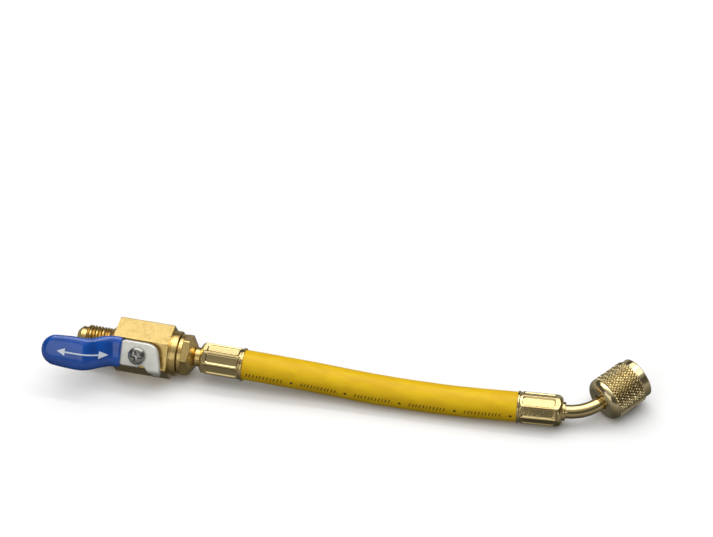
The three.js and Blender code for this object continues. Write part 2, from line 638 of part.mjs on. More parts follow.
// The bend's middle line, from the barb's tip to the open end in the nut
function elbowLine(startExtra, endExtra) {
  const bend = radians(ELBOW_ANGLE);
  const toBend = new THREE.Vector3(ELBOW_START, 0, 0);
  const out = new THREE.Vector3(Math.cos(bend), Math.sin(bend), 0);
  const afterBend = new THREE.Vector3(
    ELBOW_START + ELBOW_RADIUS * Math.sin(bend),
    ELBOW_RADIUS * (1 - Math.cos(bend)),
    0,
  );
  const tail = ELBOW_RUN + NUT_BACK_WALL + CLEARANCE + TUBE_COLLAR_LENGTH + endExtra;
  const line = new THREE.CurvePath();
  const tip = new THREE.Vector3(FERRULE_CAVITY_END - BARB_REACH - startExtra, 0, 0);
  const pull = (4 / 3) * Math.tan(bend / 4) * ELBOW_RADIUS;
  line.add(new THREE.LineCurve3(tip, toBend));
  line.add(
    new THREE.CubicBezierCurve3(
      toBend,
      toBend.clone().add(new THREE.Vector3(pull, 0, 0)),
      afterBend.clone().sub(out.clone().multiplyScalar(pull)),
      afterBend,
    ),
  );
  line.add(new THREE.LineCurve3(afterBend, afterBend.clone().add(out.clone().multiplyScalar(tail))));
  return line;
}

function tubeAlong(line, diameter, sides) {
  const section = new THREE.Shape().absarc(0, 0, diameter / 2, 0, 2 * Math.PI, false);
  const options = { steps: 24, extrudePath: line, curveSegments: sides / 2 };
  return solid(new THREE.ExtrudeGeometry(section, options));
}

function makeElbowTube(toNut) {
  const barb = rod(barbTeeth(FERRULE_CAVITY_END - BARB_REACH, FERRULE_CAVITY_END - 1, TUBE_DIAMETER + 0.3), FINE_SIDES);
  const collarStart = NUT_BACK_WALL + CLEARANCE;
  const collar = cylinder(collarStart, collarStart + TUBE_COLLAR_LENGTH, TUBE_COLLAR_DIAMETER, FINE_SIDES);
  return tubeAlong(elbowLine(0, 0), TUBE_DIAMETER, FINE_SIDES)
    .add(barb)
    .add(collar.transform(toNut.elements))
    .subtract(tubeAlong(elbowLine(1, 1), TUBE_BORE, 12));
}

function makeCouplingNut() {
  const bandStart = NUT_BACK_BEVEL + NUT_KNURL_LENGTH;
  const minor = THREAD_MAJOR / 2 - THREAD_DEPTH + CLEARANCE - 0.08;
  const threadStart = NUT_BACK_WALL + 2 * CLEARANCE + TUBE_COLLAR_LENGTH + GASKET_LENGTH;
  const threadEnd = NUT_LENGTH - NUT_THREAD_RUNOUT;
  const tubeHole = TUBE_DIAMETER / 2 + NUT_TUBE_CLEARANCE;
  return turned([
    [0, NUT_BACK_DIAMETER / 2],
    [0.35 * NUT_BACK_BEVEL, NUT_DIAMETER / 2 - 1.3],
    [NUT_BACK_BEVEL, NUT_DIAMETER / 2],
    [bandStart, NUT_DIAMETER / 2],
    [bandStart + 0.3, NUT_BAND_DIAMETER / 2],
    [NUT_LENGTH - 0.5, NUT_BAND_DIAMETER / 2],
    [NUT_LENGTH, NUT_BAND_DIAMETER / 2 - 0.5],
    [NUT_LENGTH, THREAD_MAJOR / 2 + 0.4],
    ...threadCrests(threadStart, threadEnd, THREAD_MAJOR / 2 + 0.1, minor).reverse(),
    [threadStart, minor],
    [NUT_BACK_WALL, minor],
    [NUT_BACK_WALL, tubeHole],
    [0, tubeHole],
    [0, NUT_BACK_DIAMETER / 2],
  ]);
}

function makeGasket() {
  const start = NUT_BACK_WALL + 2 * CLEARANCE + TUBE_COLLAR_LENGTH;
  const outer = THREAD_MAJOR / 2 - THREAD_DEPTH - 0.1;
  return turned([
    [start, outer],
    [start + GASKET_LENGTH - 0.5, outer],
    [start + GASKET_LENGTH, outer - 0.6],
    [start + GASKET_LENGTH, GASKET_BORE / 2],
    [start, GASKET_BORE / 2],
    [start, outer],
  ], FINE_SIDES);
}

function makeCoreDepressor() {
  const end = NUT_BACK_WALL + 2 * CLEARANCE + TUBE_COLLAR_LENGTH;
  const discRadius = TUBE_BORE / 2 - CLEARANCE;
  return rod([
    [end - CLEARANCE - DEPRESSOR_DISC_LENGTH, discRadius],
    [end - CLEARANCE, discRadius],
    [end - CLEARANCE, DEPRESSOR_PIN_DIAMETER / 2],
    [end + GASKET_LENGTH + DEPRESSOR_PIN_REACH, DEPRESSOR_PIN_DIAMETER / 2],
  ], 12);
}

const brass = { color: 0xc9a44a, metalness: 1, roughness: 0.32 };
const platedBrass = { color: 0xd8bd72, metalness: 1, roughness: 0.18 };
const steel = { color: 0xb9b7b2, metalness: 1, roughness: 0.25 };
const platedSteel = { color: 0xd3d7d6, metalness: 0.7, roughness: 0.42 };
const blueDip = { color: 0x0a3c9c, metalness: 0, roughness: 0.22 };
const yellowRubber = { color: 0xd7b303, metalness: 0, roughness: 0.45 };
const whiteSeat = { color: 0xf0eee6, metalness: 0, roughness: 0.5 };
const blackRubber = { color: 0x1c1c1c, metalness: 0, roughness: 0.7 };

function mesh(name, body, finish) {
  const piece = new THREE.Mesh(geometryOf(body), new THREE.MeshStandardMaterial(finish));
  piece.name = name;
  return piece;
}

// Frames: the valve's axis, the stem's axis, the elbow's ferrule and the nut
const valveFrame = new THREE.Matrix4().makeTranslation(0, 0, AXIS_HEIGHT);
const tilt = radians(LEVER_TILT);
const leverFrame = new THREE.Matrix4()
  .makeBasis(
    new THREE.Vector3(1, 0, 0),
    new THREE.Vector3(0, Math.sin(tilt), Math.cos(tilt)),
    new THREE.Vector3(0, -Math.cos(tilt), Math.sin(tilt)),
  )
  .premultiply(valveFrame);
const elbowFrame = new THREE.Matrix4()
  .makeTranslation(...HOSE_ROUTE.at(-1))
  .multiply(new THREE.Matrix4().makeRotationZ(radians(ELBOW_FERRULE_HEADING)))
  .multiply(new THREE.Matrix4().makeRotationX(radians(ELBOW_ROLL)));
const bend = radians(ELBOW_ANGLE);
const toNut = new THREE.Matrix4()
  .makeTranslation(
    ELBOW_START + ELBOW_RADIUS * Math.sin(bend) + ELBOW_RUN * Math.cos(bend),
    ELBOW_RADIUS * (1 - Math.cos(bend)) + ELBOW_RUN * Math.sin(bend),
    0,
  )
  .multiply(new THREE.Matrix4().makeRotationZ(bend));

function groupAt(frame, pieces) {
  const group = new THREE.Group();
  frame.decompose(group.position, group.quaternion, group.scale);
  pieces.forEach((piece) => group.add(piece));
  return group;
}

// A solid moved from one frame to the part's own
function placed(body, frame) {
  return body.transform(frame.elements);
}

const stemBore = makeStemBore().transform(valveFrame.clone().invert().multiply(leverFrame).elements);
const valveFerruleFrame = new THREE.Matrix4()
  .makeTranslation(VALVE_FERRULE_MOUTH, 0, AXIS_HEIGHT)
  .multiply(new THREE.Matrix4().makeRotationZ(Math.PI));
const valveHoseEnd = makeCrimpedHose(BARB_DIAMETER);
const elbowHoseEnd = makeCrimpedHose(TUBE_DIAMETER + 0.3);
const hose = makeHose(
  { stub: placed(valveHoseEnd.stub, valveFerruleFrame), bore: placed(valveHoseEnd.bore, valveFerruleFrame) },
  { stub: placed(elbowHoseEnd.stub, elbowFrame), bore: placed(elbowHoseEnd.bore, elbowFrame) },
);

const chargingHose = new THREE.Group();
chargingHose.add(
  groupAt(valveFrame, [
    mesh("valve_body", makeValveBody().subtract(stemBore), brass),
    mesh("seat_inlet", makeSeat(-1), whiteSeat),
    mesh("seat_outlet", makeSeat(1), whiteSeat),
    mesh("end_fitting", makeEndFitting(), brass),
  ]),
  groupAt(leverFrame, [
    mesh("ball", makeBall(), platedSteel),
    mesh("stem", makeStem(), steel),
    mesh("stem_gland", makeGland(), brass),
    mesh("lever_plate", makeLeverPlate(), platedSteel),
    mesh("lever_grip", makeLeverGrip(), blueDip),
    mesh("lever_screw", makeLeverScrew(), steel),
  ]),
  groupAt(valveFerruleFrame, [
    mesh("ferrule_valve_end", makeFerrule(VALVE_FERRULE_TURN, FITTING_NECK_DIAMETER, false), platedBrass),
  ]),
  mesh("hose", hose, yellowRubber),
);
const nutGroup = groupAt(toNut, [
  mesh("coupling_nut", makeCouplingNut(), platedBrass),
  mesh("gasket", makeGasket(), blackRubber),
  mesh("core_depressor", makeCoreDepressor(), brass),
]);
chargingHose.add(
  groupAt(elbowFrame, [
    mesh("ferrule_elbow_end", makeFerrule(ELBOW_FERRULE_TURN, TUBE_DIAMETER, true), platedBrass),
    mesh("elbow_tube", makeElbowTube(toNut), platedBrass),
    nutGroup,
  ]),
);

export default chargingHose;
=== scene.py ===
import logging
import math
from dataclasses import dataclass, field
from enum import Enum
from typing import Callable, Sequence, Union

import bmesh
import bpy
import numpy as np
from mathutils import Matrix, Vector


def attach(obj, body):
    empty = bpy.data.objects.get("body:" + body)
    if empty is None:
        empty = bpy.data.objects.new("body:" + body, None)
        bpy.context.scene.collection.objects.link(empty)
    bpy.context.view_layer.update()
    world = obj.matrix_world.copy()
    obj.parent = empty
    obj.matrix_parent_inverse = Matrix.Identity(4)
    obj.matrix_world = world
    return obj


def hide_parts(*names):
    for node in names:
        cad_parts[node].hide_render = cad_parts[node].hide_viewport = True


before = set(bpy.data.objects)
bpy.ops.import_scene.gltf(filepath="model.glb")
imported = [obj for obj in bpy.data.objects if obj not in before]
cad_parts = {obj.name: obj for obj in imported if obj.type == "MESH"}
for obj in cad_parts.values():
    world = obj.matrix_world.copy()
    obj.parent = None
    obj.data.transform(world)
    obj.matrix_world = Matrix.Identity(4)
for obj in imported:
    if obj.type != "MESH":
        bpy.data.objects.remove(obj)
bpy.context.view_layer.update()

log = logging.getLogger("charging_hose")

OWN_PLACE = "own_place"  # the attribute that keeps each point's place in its piece's own frame
MM = 0.001  # lengths below are millimetres, and meshes are metres
Colour = tuple[float, float, float]
# Takes each point's place along, radius and angle, and gives its new place along and radius
Relief = Callable[[np.ndarray, np.ndarray, np.ndarray], tuple[np.ndarray, np.ndarray]]

# The valve's axis is this high, and the pieces that turn about it share it
AXIS_HEIGHT = 9.525
VALVE_FERRULE_MOUTH = 40.3
THREAD_MAJOR = 11.11
THREAD_PITCH = 1.27
THREAD_DEPTH = 0.78
CLEARANCE = 0.3
LEVER_TILT = math.radians(30)
LEVER_INNER = 11.125  # from the stem's centre out to the lever
LEVER_THICKNESS = 1.8
SCREW_HEIGHT = 2.2
FLARE_THREAD_START = -23.3
FLARE_THREAD_END = -14.6
NUT_DIAMETER = 17.5
NUT_BEVEL = 2.7
KNURL_LENGTH = 12.6
HOSE_DIAMETER = 11.8
LAY_LENGTH = 200.0  # what 1 stands for along the hose's map, in millimetres

# The middle of the hose, from the mouth of one ferrule to the mouth of the other, in metres
HOSE_ROUTE = [
    (0.0403, 0, 0.009525),
    (0.044, 0, 0.0095),
    (0.050, 0.00015, 0.0093),
    (0.058, 0.00055, 0.00875),
    (0.066, 0.00105, 0.0081),
    (0.074, 0.0014, 0.00745),
    (0.082, 0.0016, 0.0069),
    (0.090, 0.00175, 0.0065),
    (0.098, 0.00195, 0.00625),
    (0.106, 0.0022, 0.00612),
    (0.114, 0.0025, 0.0061),
    (0.122, 0.00285, 0.00615),
    (0.130, 0.0033, 0.00635),
    (0.138, 0.00385, 0.00665),
    (0.144, 0.0043, 0.00685),
    (0.1482, 0.0047, 0.0069),
]


class Body(Enum):
    """The bodies that pieces ride on."""

    FIXED = "hose_assembly"
    LEVER = "lever"
    NUT = "swivel_nut"


class Grain(Enum):
    """Which way the fine tool marks of a metal run."""

    TURNED = "rings about the axis"
    ROLLED = "no direction"


# Frames of the sub-assemblies


def frame_of(rows: Sequence[Sequence[float]], origin: Sequence[float]) -> Matrix:
    """A frame from its three axes and its origin.

    Args:
        rows: The X, Y and Z axes, in the part's frame.
        origin: The origin in millimetres.

    Returns:
        The frame's matrix, in metres.
    """
    turn = Matrix([Vector(axis) for axis in rows]).transposed().to_4x4()
    return Matrix.Translation(Vector(origin) * MM) @ turn


VALVE_FRAME = Matrix.Translation(Vector((0, 0, AXIS_HEIGHT)) * MM)
LEVER_FRAME = frame_of(
    [
        (1, 0, 0),
        (0, math.sin(LEVER_TILT), math.cos(LEVER_TILT)),
        (0, -math.cos(LEVER_TILT), math.sin(LEVER_TILT)),
    ],
    (0, 0, AXIS_HEIGHT),
)
STEM_FRAME = LEVER_FRAME @ Matrix.Rotation(-math.pi / 2, 4, "Y")
VALVE_FERRULE_FRAME = Matrix.Translation(
    Vector((VALVE_FERRULE_MOUTH, 0, AXIS_HEIGHT)) * MM
) @ Matrix.Rotation(math.pi, 4, "Z")


def add_object(name: str, data: bpy.types.ID, place: Matrix | None = None) -> bpy.types.Object:
    """Puts an object in the scene.

    Args:
        name: Its name.
        data: Its mesh, light or camera.
        place: Its matrix, where it isn't at the origin.

    Returns:
        The object.
    """
    made = bpy.data.objects.new(name, data)
    bpy.context.scene.collection.objects.link(made)
    if place is not None:
        made.matrix_world = place
    return made


# Turned and lofted surfaces


def smooth_step(low: float, high: float, value: np.ndarray) -> np.ndarray:
    """0 below low, 1 above high and a smooth rise between them.

    Args:
        low: Where the rise starts.
        high: Where it ends. It may be below low, which makes a fall.
        value: The values to judge.

    Returns:
        Values from 0 to 1.
    """
    share = np.clip((value - low) / (high - low), 0.0, 1.0)
    return share * share * (3.0 - 2.0 * share)


def smooth_min(first: np.ndarray, second: np.ndarray, softness: float) -> np.ndarray:
    """The smaller of two values, rounded where they meet.

    Args:
        first: Some values.
        second: Values of the same shape.
        softness: How much the meeting is rounded.

    Returns:
        The smaller ones.
    """
    return -softness * np.logaddexp(-first / softness, -second / softness)


@dataclass(frozen=True)
class Flats:
    """Flat faces milled or crimped around a turned outline, as on a hexagon."""

    count: int
    across: float
    start: float
    end: float
    turn: float = 0.0  # degrees of one face's normal, from +Y towards +Z
    edge_power: float = 150.0  # higher is sharper
    softness: float = 0.05
    run_in: float = 0.0  # the faces come in over this length at each end

    def __call__(
        self, along: np.ndarray, radius: np.ndarray, angle: np.ndarray
    ) -> tuple[np.ndarray, np.ndarray]:
        """Cuts the faces. See Relief."""
        reach = 0.0
        for face in range(self.count):
            normal = math.radians(self.turn) + 2 * math.pi * face / self.count
            reach = reach + np.maximum(np.cos(angle - normal), 0.0) ** self.edge_power
        face_radius = (self.across / 2) * reach ** (-1.0 / self.edge_power)
        cut = smooth_min(radius, face_radius, self.softness)
        inside = (along >= self.start) & (along <= self.end) & (radius > 0.6 * self.across / 2)
        if self.run_in:
            share = smooth_step(self.start, self.start + self.run_in, along)
            share = share * smooth_step(self.end, self.end - self.run_in, along)
            cut = radius + (cut - radius) * share
        return along, np.where(inside, cut, radius)


@dataclass(frozen=True)
class Thread:
    """A helical thread cut into the stretch of an outline that lies at its crest."""

    start: float
    end: float
    crest: float
    depth: float = THREAD_DEPTH
    pitch: float = THREAD_PITCH
    inside: bool = False
    crest_share: float = 0.14

    def __call__(
        self, along: np.ndarray, radius: np.ndarray, angle: np.ndarray
    ) -> tuple[np.ndarray, np.ndarray]:
        """Cuts the thread. See Relief."""
        turn = (along / self.pitch - angle / (2 * math.pi)) % 1.0
        wave = np.abs(2.0 * turn - 1.0)
        groove = smooth_step(self.crest_share, 1.0, wave) ** 0.8
        fade = smooth_step(self.start, self.start + 0.8 * self.pitch, along)
        fade = fade * smooth_step(self.end, self.end - 0.8 * self.pitch, along)
        at_crest = (np.abs(radius - self.crest) < 0.03) & (along >= self.start) & (along <= self.end)
        outwards = 1.0 if self.inside else -1.0
        return along, radius + outwards * np.where(at_crest, self.depth * groove * fade, 0.0)


@dataclass(frozen=True)
class Knurl:
    """Crossed grooves pressed into a round, which leave raised diamonds."""

    start: float
    end: float
    count: int
    depth: float
    slant: float  # degrees of each groove from the axis
    diameter: float
    flat_top: float = 0.62
    run_out: float = 0.5

    def __call__(
        self, along: np.ndarray, radius: np.ndarray, angle: np.ndarray
    ) -> tuple[np.ndarray, np.ndarray]:
        """Presses the grooves. See Relief."""
        lead = math.tan(math.radians(self.slant)) * self.count / (math.pi * self.diameter)
        around = self.count * angle / (2 * math.pi)
        height = 1.0
        for way in (1, -1):
            place = (around + way * lead * along) % 1.0
            height = np.minimum(height, 1.0 - np.abs(2.0 * place - 1.0))
        height = np.minimum(height / self.flat_top, 1.0)
        fade = smooth_step(self.start, self.start + self.run_out, along)
        fade = fade * smooth_step(self.end, self.end - self.run_out, along)
        on_round = (np.abs(radius - self.diameter / 2) < 0.03) & (along >= self.start) & (along <= self.end)
        return along, radius - np.where(on_round, self.depth * (1.0 - height) * fade, 0.0)


@dataclass(frozen=True)
class CrimpRidges:
    """The thin ridges that are squeezed up between the crimping dies."""

    count: int
    turn: float
    start: float
    end: float
    outer_radius: float
    height: float = 0.13
    width: float = 0.26

    def __call__(
        self, along: np.ndarray, radius: np.ndarray, angle: np.ndarray
    ) -> tuple[np.ndarray, np.ndarray]:
        """Raises the ridges. See Relief."""
        step = 2 * math.pi / self.count
        off_corner = (angle - math.radians(self.turn)) % step - step / 2
        share = np.exp(-((off_corner * self.outer_radius / self.width) ** 2))
        fade = smooth_step(self.start, self.start + 1.0, along) * smooth_step(self.end, self.end - 1.0, along)
        outer = radius > 0.9 * self.outer_radius
        return along, radius + np.where(outer, self.height * share * fade, 0.0)


@dataclass(frozen=True)
class CrimpMarks:
    """The shallow rounded recess that each crimping die leaves on its face."""

    count: int
    turn: float
    middle: float
    length: float
    width: float
    depth: float
    corner: float
    outer_radius: float
    edge: float = 0.17

    def __call__(
        self, along: np.ndarray, radius: np.ndarray, angle: np.ndarray
    ) -> tuple[np.ndarray, np.ndarray]:
        """Presses the marks. See Relief."""
        step = 2 * math.pi / self.count
        off_face = (angle - math.radians(self.turn) + step / 2) % step - step / 2
        across = np.abs(np.tan(off_face) * self.outer_radius)
        over_length = np.abs(along - self.middle) - self.length / 2 + self.corner
        over_width = across - self.width / 2 + self.corner
        outside = np.hypot(np.maximum(over_length, 0), np.maximum(over_width, 0))
        distance = outside + np.minimum(np.maximum(over_length, over_width), 0) - self.corner
        pressed = smooth_step(self.edge, -self.edge, distance)
        outer = radius > 0.9 * self.outer_radius
        return along, radius - np.where(outer, self.depth * pressed, 0.0)


@dataclass(frozen=True)
class CrossRecess:
    """The cross that a screwdriver fits, sunk into the top of a screw's head."""

    span: float
    width: float
    depth: float
    above: float  # only what lies past this place is sunk
    wall: float = 0.12

    def __call__(
        self, along: np.ndarray, radius: np.ndarray, angle: np.ndarray
    ) -> tuple[np.ndarray, np.ndarray]:
        """Sinks the cross. See Relief."""
        first = np.abs(radius * np.cos(angle))
        second = np.abs(radius * np.sin(angle))
        sunk = 0.0
        for long_way, short_way in ((first, second), (second, first)):
            ends = smooth_step(self.span / 2, self.span / 2 - 3 * self.wall, long_way)
            sides = smooth_step(self.width / 2 + self.wall, self.width / 2 - self.wall, short_way)
            sunk = np.maximum(sunk, ends * sides)
        taper = 1.0 - 0.35 * np.clip(radius / (self.span / 2), 0, 1)
        return np.where(along > self.above, along - self.depth * taper * sunk, along), radius


def rounded_outline(
    corners: Sequence[tuple[float, ...]], step: float, closed: bool = True, arc_steps: int = 4
) -> np.ndarray:
    """An outline with its corners rounded and its straights cut into short steps.

    Args:
        corners: (along, radius) or (along, radius, fillet) of each corner, in order.
        step: The longest straight step.
        closed: Whether the last corner joins the first.
        arc_steps: How many steps a rounded corner gets.

    Returns:
        The points, one row each.
    """
    places = [np.array(corner[:2], float) for corner in corners]
    fillets = [corner[2] if len(corner) > 2 else 0.0 for corner in corners]
    last = len(places) - 1
    turned: list[np.ndarray] = []
    for i, place in enumerate(places):
        if fillets[i] == 0.0 or (not closed and i in (0, last)):
            turned.append(place)
            continue
        before = places[i - 1] - place
        after = places[(i + 1) % len(places)] - place
        room = 0.48 * min(np.linalg.norm(before), np.linalg.norm(after))
        before, after = before / np.linalg.norm(before), after / np.linalg.norm(after)
        half = 0.5 * math.acos(max(-1.0, min(1.0, float(before @ after))))
        pull = min(fillets[i] / math.tan(half), room)
        start, end = place + before * pull, place + after * pull
        for share in np.linspace(0, 1, arc_steps + 1):
            one, two = start + (place - start) * share, place + (end - place) * share
            turned.append(one + (two - one) * share)
    stretches = list(zip(turned, turned[1:] + turned[:1])) if closed else list(zip(turned, turned[1:]))
    dense: list[np.ndarray] = []
    for one, two in stretches:
        length = float(np.linalg.norm(two - one))
        if length < 1e-6:
            continue
        count = max(1, math.ceil(length / step))
        dense.extend(one + (two - one) * k / count for k in range(count))
    if not closed:
        dense.append(turned[-1])
    return np.array(dense)


class Spine:
    """A middle line with a sideways and an upward direction at each place along it."""

    def __init__(self, points: Sequence[Sequence[float]], start: float = 0.0) -> None:
        """Measures the line.

        Args:
            points: Points along the line, in millimetres.
            start: The distance that the first point is said to lie at.
        """
        self.points = np.array(points, float)
        steps = np.linalg.norm(np.diff(self.points, axis=0), axis=1)
        self.along = start + np.concatenate([[0.0], np.cumsum(steps)])
        slopes = np.gradient(self.points, self.along, axis=0, edge_order=1)
        self.forward = slopes / np.linalg.norm(slopes, axis=1)[:, None]

    def frames(self, along: np.ndarray) -> tuple[np.ndarray, ...]:
        """The line's place and directions.

        Args:
            along: Distances along the line, which may lie past its ends.

        Returns:
            The middle, the sideways and the upward direction at each of them.
        """
        inside = np.clip(along, self.along[0], self.along[-1])
        middle = np.stack([np.interp(inside, self.along, self.points[:, k]) for k in range(3)], axis=-1)
        forward = np.stack([np.interp(inside, self.along, self.forward[:, k]) for k in range(3)], axis=-1)
        forward /= np.linalg.norm(forward, axis=-1, keepdims=True)
        middle = middle + (along - inside)[..., None] * forward
        side = np.cross(np.array([0.0, 0.0, 1.0]), forward)
        side /= np.linalg.norm(side, axis=-1, keepdims=True)
        return middle, side, np.cross(forward, side)


AXIS = Spine([(0, 0, 0), (1, 0, 0)])


class Surface:
    """A grid of points, station by station, that becomes one closed mesh."""

    def __init__(self, grid: np.ndarray, closed: bool) -> None:
        """Takes the grid.

        Args:
            grid: Points in millimetres, as stations by places round by 3.
            closed: Whether the last station joins the first. Otherwise both are points on the axis.
        """
        self.grid = grid
        self.closed = closed

    @classmethod
    def turned(
        cls,
        outline: np.ndarray,
        sides: int,
        reliefs: Sequence[Relief] = (),
        spine: Spine = AXIS,
        closed: bool = True,
    ) -> "Surface":
        """Turns an outline about a line.

        Args:
            outline: (along, radius) points, outside with along rising, inside with it falling.
            sides: How many places round.
            reliefs: What is cut or pressed into the surface, in order.
            spine: The line.
            closed: Whether the outline closes on itself. Otherwise it starts and ends on the line.

        Returns:
            The surface.
        """
        angle = np.linspace(0, 2 * math.pi, sides, endpoint=False)[None, :]
        along = np.repeat(outline[:, :1], sides, axis=1)
        radius = np.repeat(outline[:, 1:], sides, axis=1)
        angle = np.repeat(angle, len(outline), axis=0)
        for relief in reliefs:
            along, radius = relief(along, radius, angle)
        return cls(place_round(spine, along, radius * np.cos(angle), radius * np.sin(angle)), closed)

    def piece(self, name: str, place: Matrix, sharp: float = 40.0) -> bpy.types.Object:
        """Makes the mesh and its object.

        Args:
            name: The piece's name.
            place: The object's matrix.
            sharp: Edges that turn more than this, in degrees, are left sharp.

        Returns:
            The object, in the scene.
        """
        stations, sides = self.grid.shape[:2]
        points = self.grid.reshape(-1, 3) * MM
        index = np.arange(stations * sides).reshape(stations, sides)
        rows = index if self.closed else index[:-1]
        ahead = np.roll(index, -1, axis=0) if self.closed else index[1:]
        quads = np.stack([rows, np.roll(rows, -1, 1), np.roll(ahead, -1, 1), ahead], axis=-1).reshape(-1, 4)
        mesh = bpy.data.meshes.new(name)
        mesh.from_pydata(points.tolist(), [], quads.tolist())
        tidy_mesh(mesh, sharp)
        return add_object(name, mesh, place)


def place_round(spine: Spine, along: np.ndarray, sideways: np.ndarray, upwards: np.ndarray) -> np.ndarray:
    """Points beside a line.

    Args:
        spine: The line.
        along: How far along it each point is.
        sideways: How far to its side.
        upwards: How far above it.

    Returns:
        The points, in the shape of along with 3 added.
    """
    middle, side, up = spine.frames(along)
    return middle + sideways[..., None] * side + upwards[..., None] * up


def tidy_mesh(mesh: bpy.types.Mesh, sharp: float) -> None:
    """Merges the points on an axis, turns the faces out and smooths all but the sharp edges.

    Args:
        mesh: The mesh.
        sharp: Edges that turn more than this, in degrees, are left sharp.
    """
    shape = bmesh.new()
    shape.from_mesh(mesh)
    bmesh.ops.remove_doubles(shape, verts=shape.verts, dist=1e-7)
    bmesh.ops.recalc_face_normals(shape, faces=shape.faces)
    shape.to_mesh(mesh)
    shape.free()
    mesh.polygons.foreach_set("use_smooth", [True] * len(mesh.polygons))
    mesh.set_sharp_from_angle(angle=math.radians(sharp))


def cut_with(piece: bpy.types.Object, tools: Sequence[bpy.types.Object], sharp: float = 40.0) -> None:
    """Cuts tools out of a piece and removes them.

    Args:
        piece: What is cut. Its mesh is replaced by the result.
        tools: Closed meshes in place.
        sharp: Edges that turn more than this, in degrees, are left sharp.
    """
    for tool in tools:
        cut = piece.modifiers.new("cut", "BOOLEAN")
        cut.operation = "DIFFERENCE"
        cut.solver = "EXACT"
        cut.object = tool
    bpy.context.view_layer.update()
    done = piece.evaluated_get(bpy.context.evaluated_depsgraph_get())
    mesh = bpy.data.meshes.new_from_object(done)
    piece.modifiers.clear()
    piece.data = mesh
    tidy_mesh(mesh, sharp)
    for tool in tools:
        bpy.data.objects.remove(tool)


# Shader maths


@dataclass(frozen=True)
class Socket:
    """An output of a node that can stand in an expression."""

    shader: "Nodes"
    socket: bpy.types.NodeSocket

    def combine(self, operation: str, first: "Value", second: "Value" = None) -> "Socket":
        """Adds a Math node.

        Args:
            operation: The node's operation.
            first: The left value.
            second: The right value, where the operation takes two.

        Returns:
            The node's output.
        """
        inputs = {0: first} if second is None else {0: first, 1: second}
        return self.shader.node("ShaderNodeMath", {"operation": operation}, inputs)

    def __add__(self, other: "Value") -> "Socket":
        """self + other."""
        return self.combine("ADD", self, other)

    def __radd__(self, other: "Value") -> "Socket":
        """other + self."""
        return self.combine("ADD", other, self)

    def __sub__(self, other: "Value") -> "Socket":
        """self - other."""
        return self.combine("SUBTRACT", self, other)

    def __rsub__(self, other: "Value") -> "Socket":
        """other - self."""
        return self.combine("SUBTRACT", other, self)

    def __mul__(self, other: "Value") -> "Socket":
        """self * other."""
        return self.combine("MULTIPLY", self, other)

    def __rmul__(self, other: "Value") -> "Socket":
        """other * self."""
        return self.combine("MULTIPLY", other, self)

    def __pow__(self, other: "Value") -> "Socket":
        """self ** other."""
        return self.combine("POWER", self, other)

    def __mod__(self, other: "Value") -> "Socket":
        """self % other."""
        return self.combine("FLOORED_MODULO", self, other)

    def __abs__(self) -> "Socket":
        """abs(self)."""
        return self.combine("ABSOLUTE", self)

    def at_least(self, other: "Value") -> "Socket":
        """The greater of the two."""
        return self.combine("MAXIMUM", self, other)

    def step(self, low: float, high: float, from_value: float = 0.0, to_value: float = 1.0) -> "Socket":
        """A smooth change over a range.

        Args:
            low: Where the change starts.
            high: Where it ends.
            from_value: The result at low and below.
            to_value: The result at high and above.

        Returns:
            The changed value.
        """
        settings = {"interpolation_type": "SMOOTHSTEP"}
        if high < low:
            low, high, from_value, to_value = high, low, to_value, from_value
        limits = {"From Min": low, "From Max": high, "To Min": from_value, "To Max": to_value}
        return self.shader.node("ShaderNodeMapRange", settings, {"Value": self, **limits}, "Result")


Value = Union[Socket, float, None]


class Nodes:
    """A tree of nodes."""

    def __init__(self, tree: bpy.types.NodeTree) -> None:
        """Empties the tree."""
        self.tree = tree
        self.tree.nodes.clear()

    def make_node(
        self,
        kind: str,
        settings: dict[str, object] | None = None,
        inputs: dict[str | int, object] | None = None,
    ) -> bpy.types.Node:
        """Adds a node.

        Args:
            kind: Its type.
            settings: Its properties, and stops for a ramp.
            inputs: A value or a link for each of its sockets that needs one.

        Returns:
            The node.
        """
        made = self.tree.nodes.new(kind)
        for name, setting in (settings or {}).items():
            if name == "stops":
                ramp = made.color_ramp
                while len(ramp.elements) < len(setting):
                    ramp.elements.new(1.0)
                for stop, (place, colour) in zip(ramp.elements, setting):
                    stop.position, stop.color = place, (*colour, 1.0)
            else:
                setattr(made, name, setting)
        for name, value in (inputs or {}).items():
            self.fill(made.inputs[name], value)
        return made

    def node(
        self,
        kind: str,
        settings: dict[str, object] | None = None,
        inputs: dict[str | int, object] | None = None,
        output: str | int = 0,
    ) -> Socket:
        """Adds a node. See make_node.

        Args:
            kind: Its type.
            settings: Its properties.
            inputs: What its sockets get.
            output: The output to return.

        Returns:
            That output.
        """
        return Socket(self, self.make_node(kind, settings, inputs).outputs[output])

    def fill(self, socket: bpy.types.NodeSocket, value: object) -> None:
        """Links or sets one input.

        Args:
            socket: The input.
            value: A Socket to link, or a number or colour to set.
        """
        if isinstance(value, Socket):
            self.tree.links.new(value.socket, socket)
        elif socket.type == "RGBA":
            socket.default_value = (*value, 1.0)
        else:
            socket.default_value = value


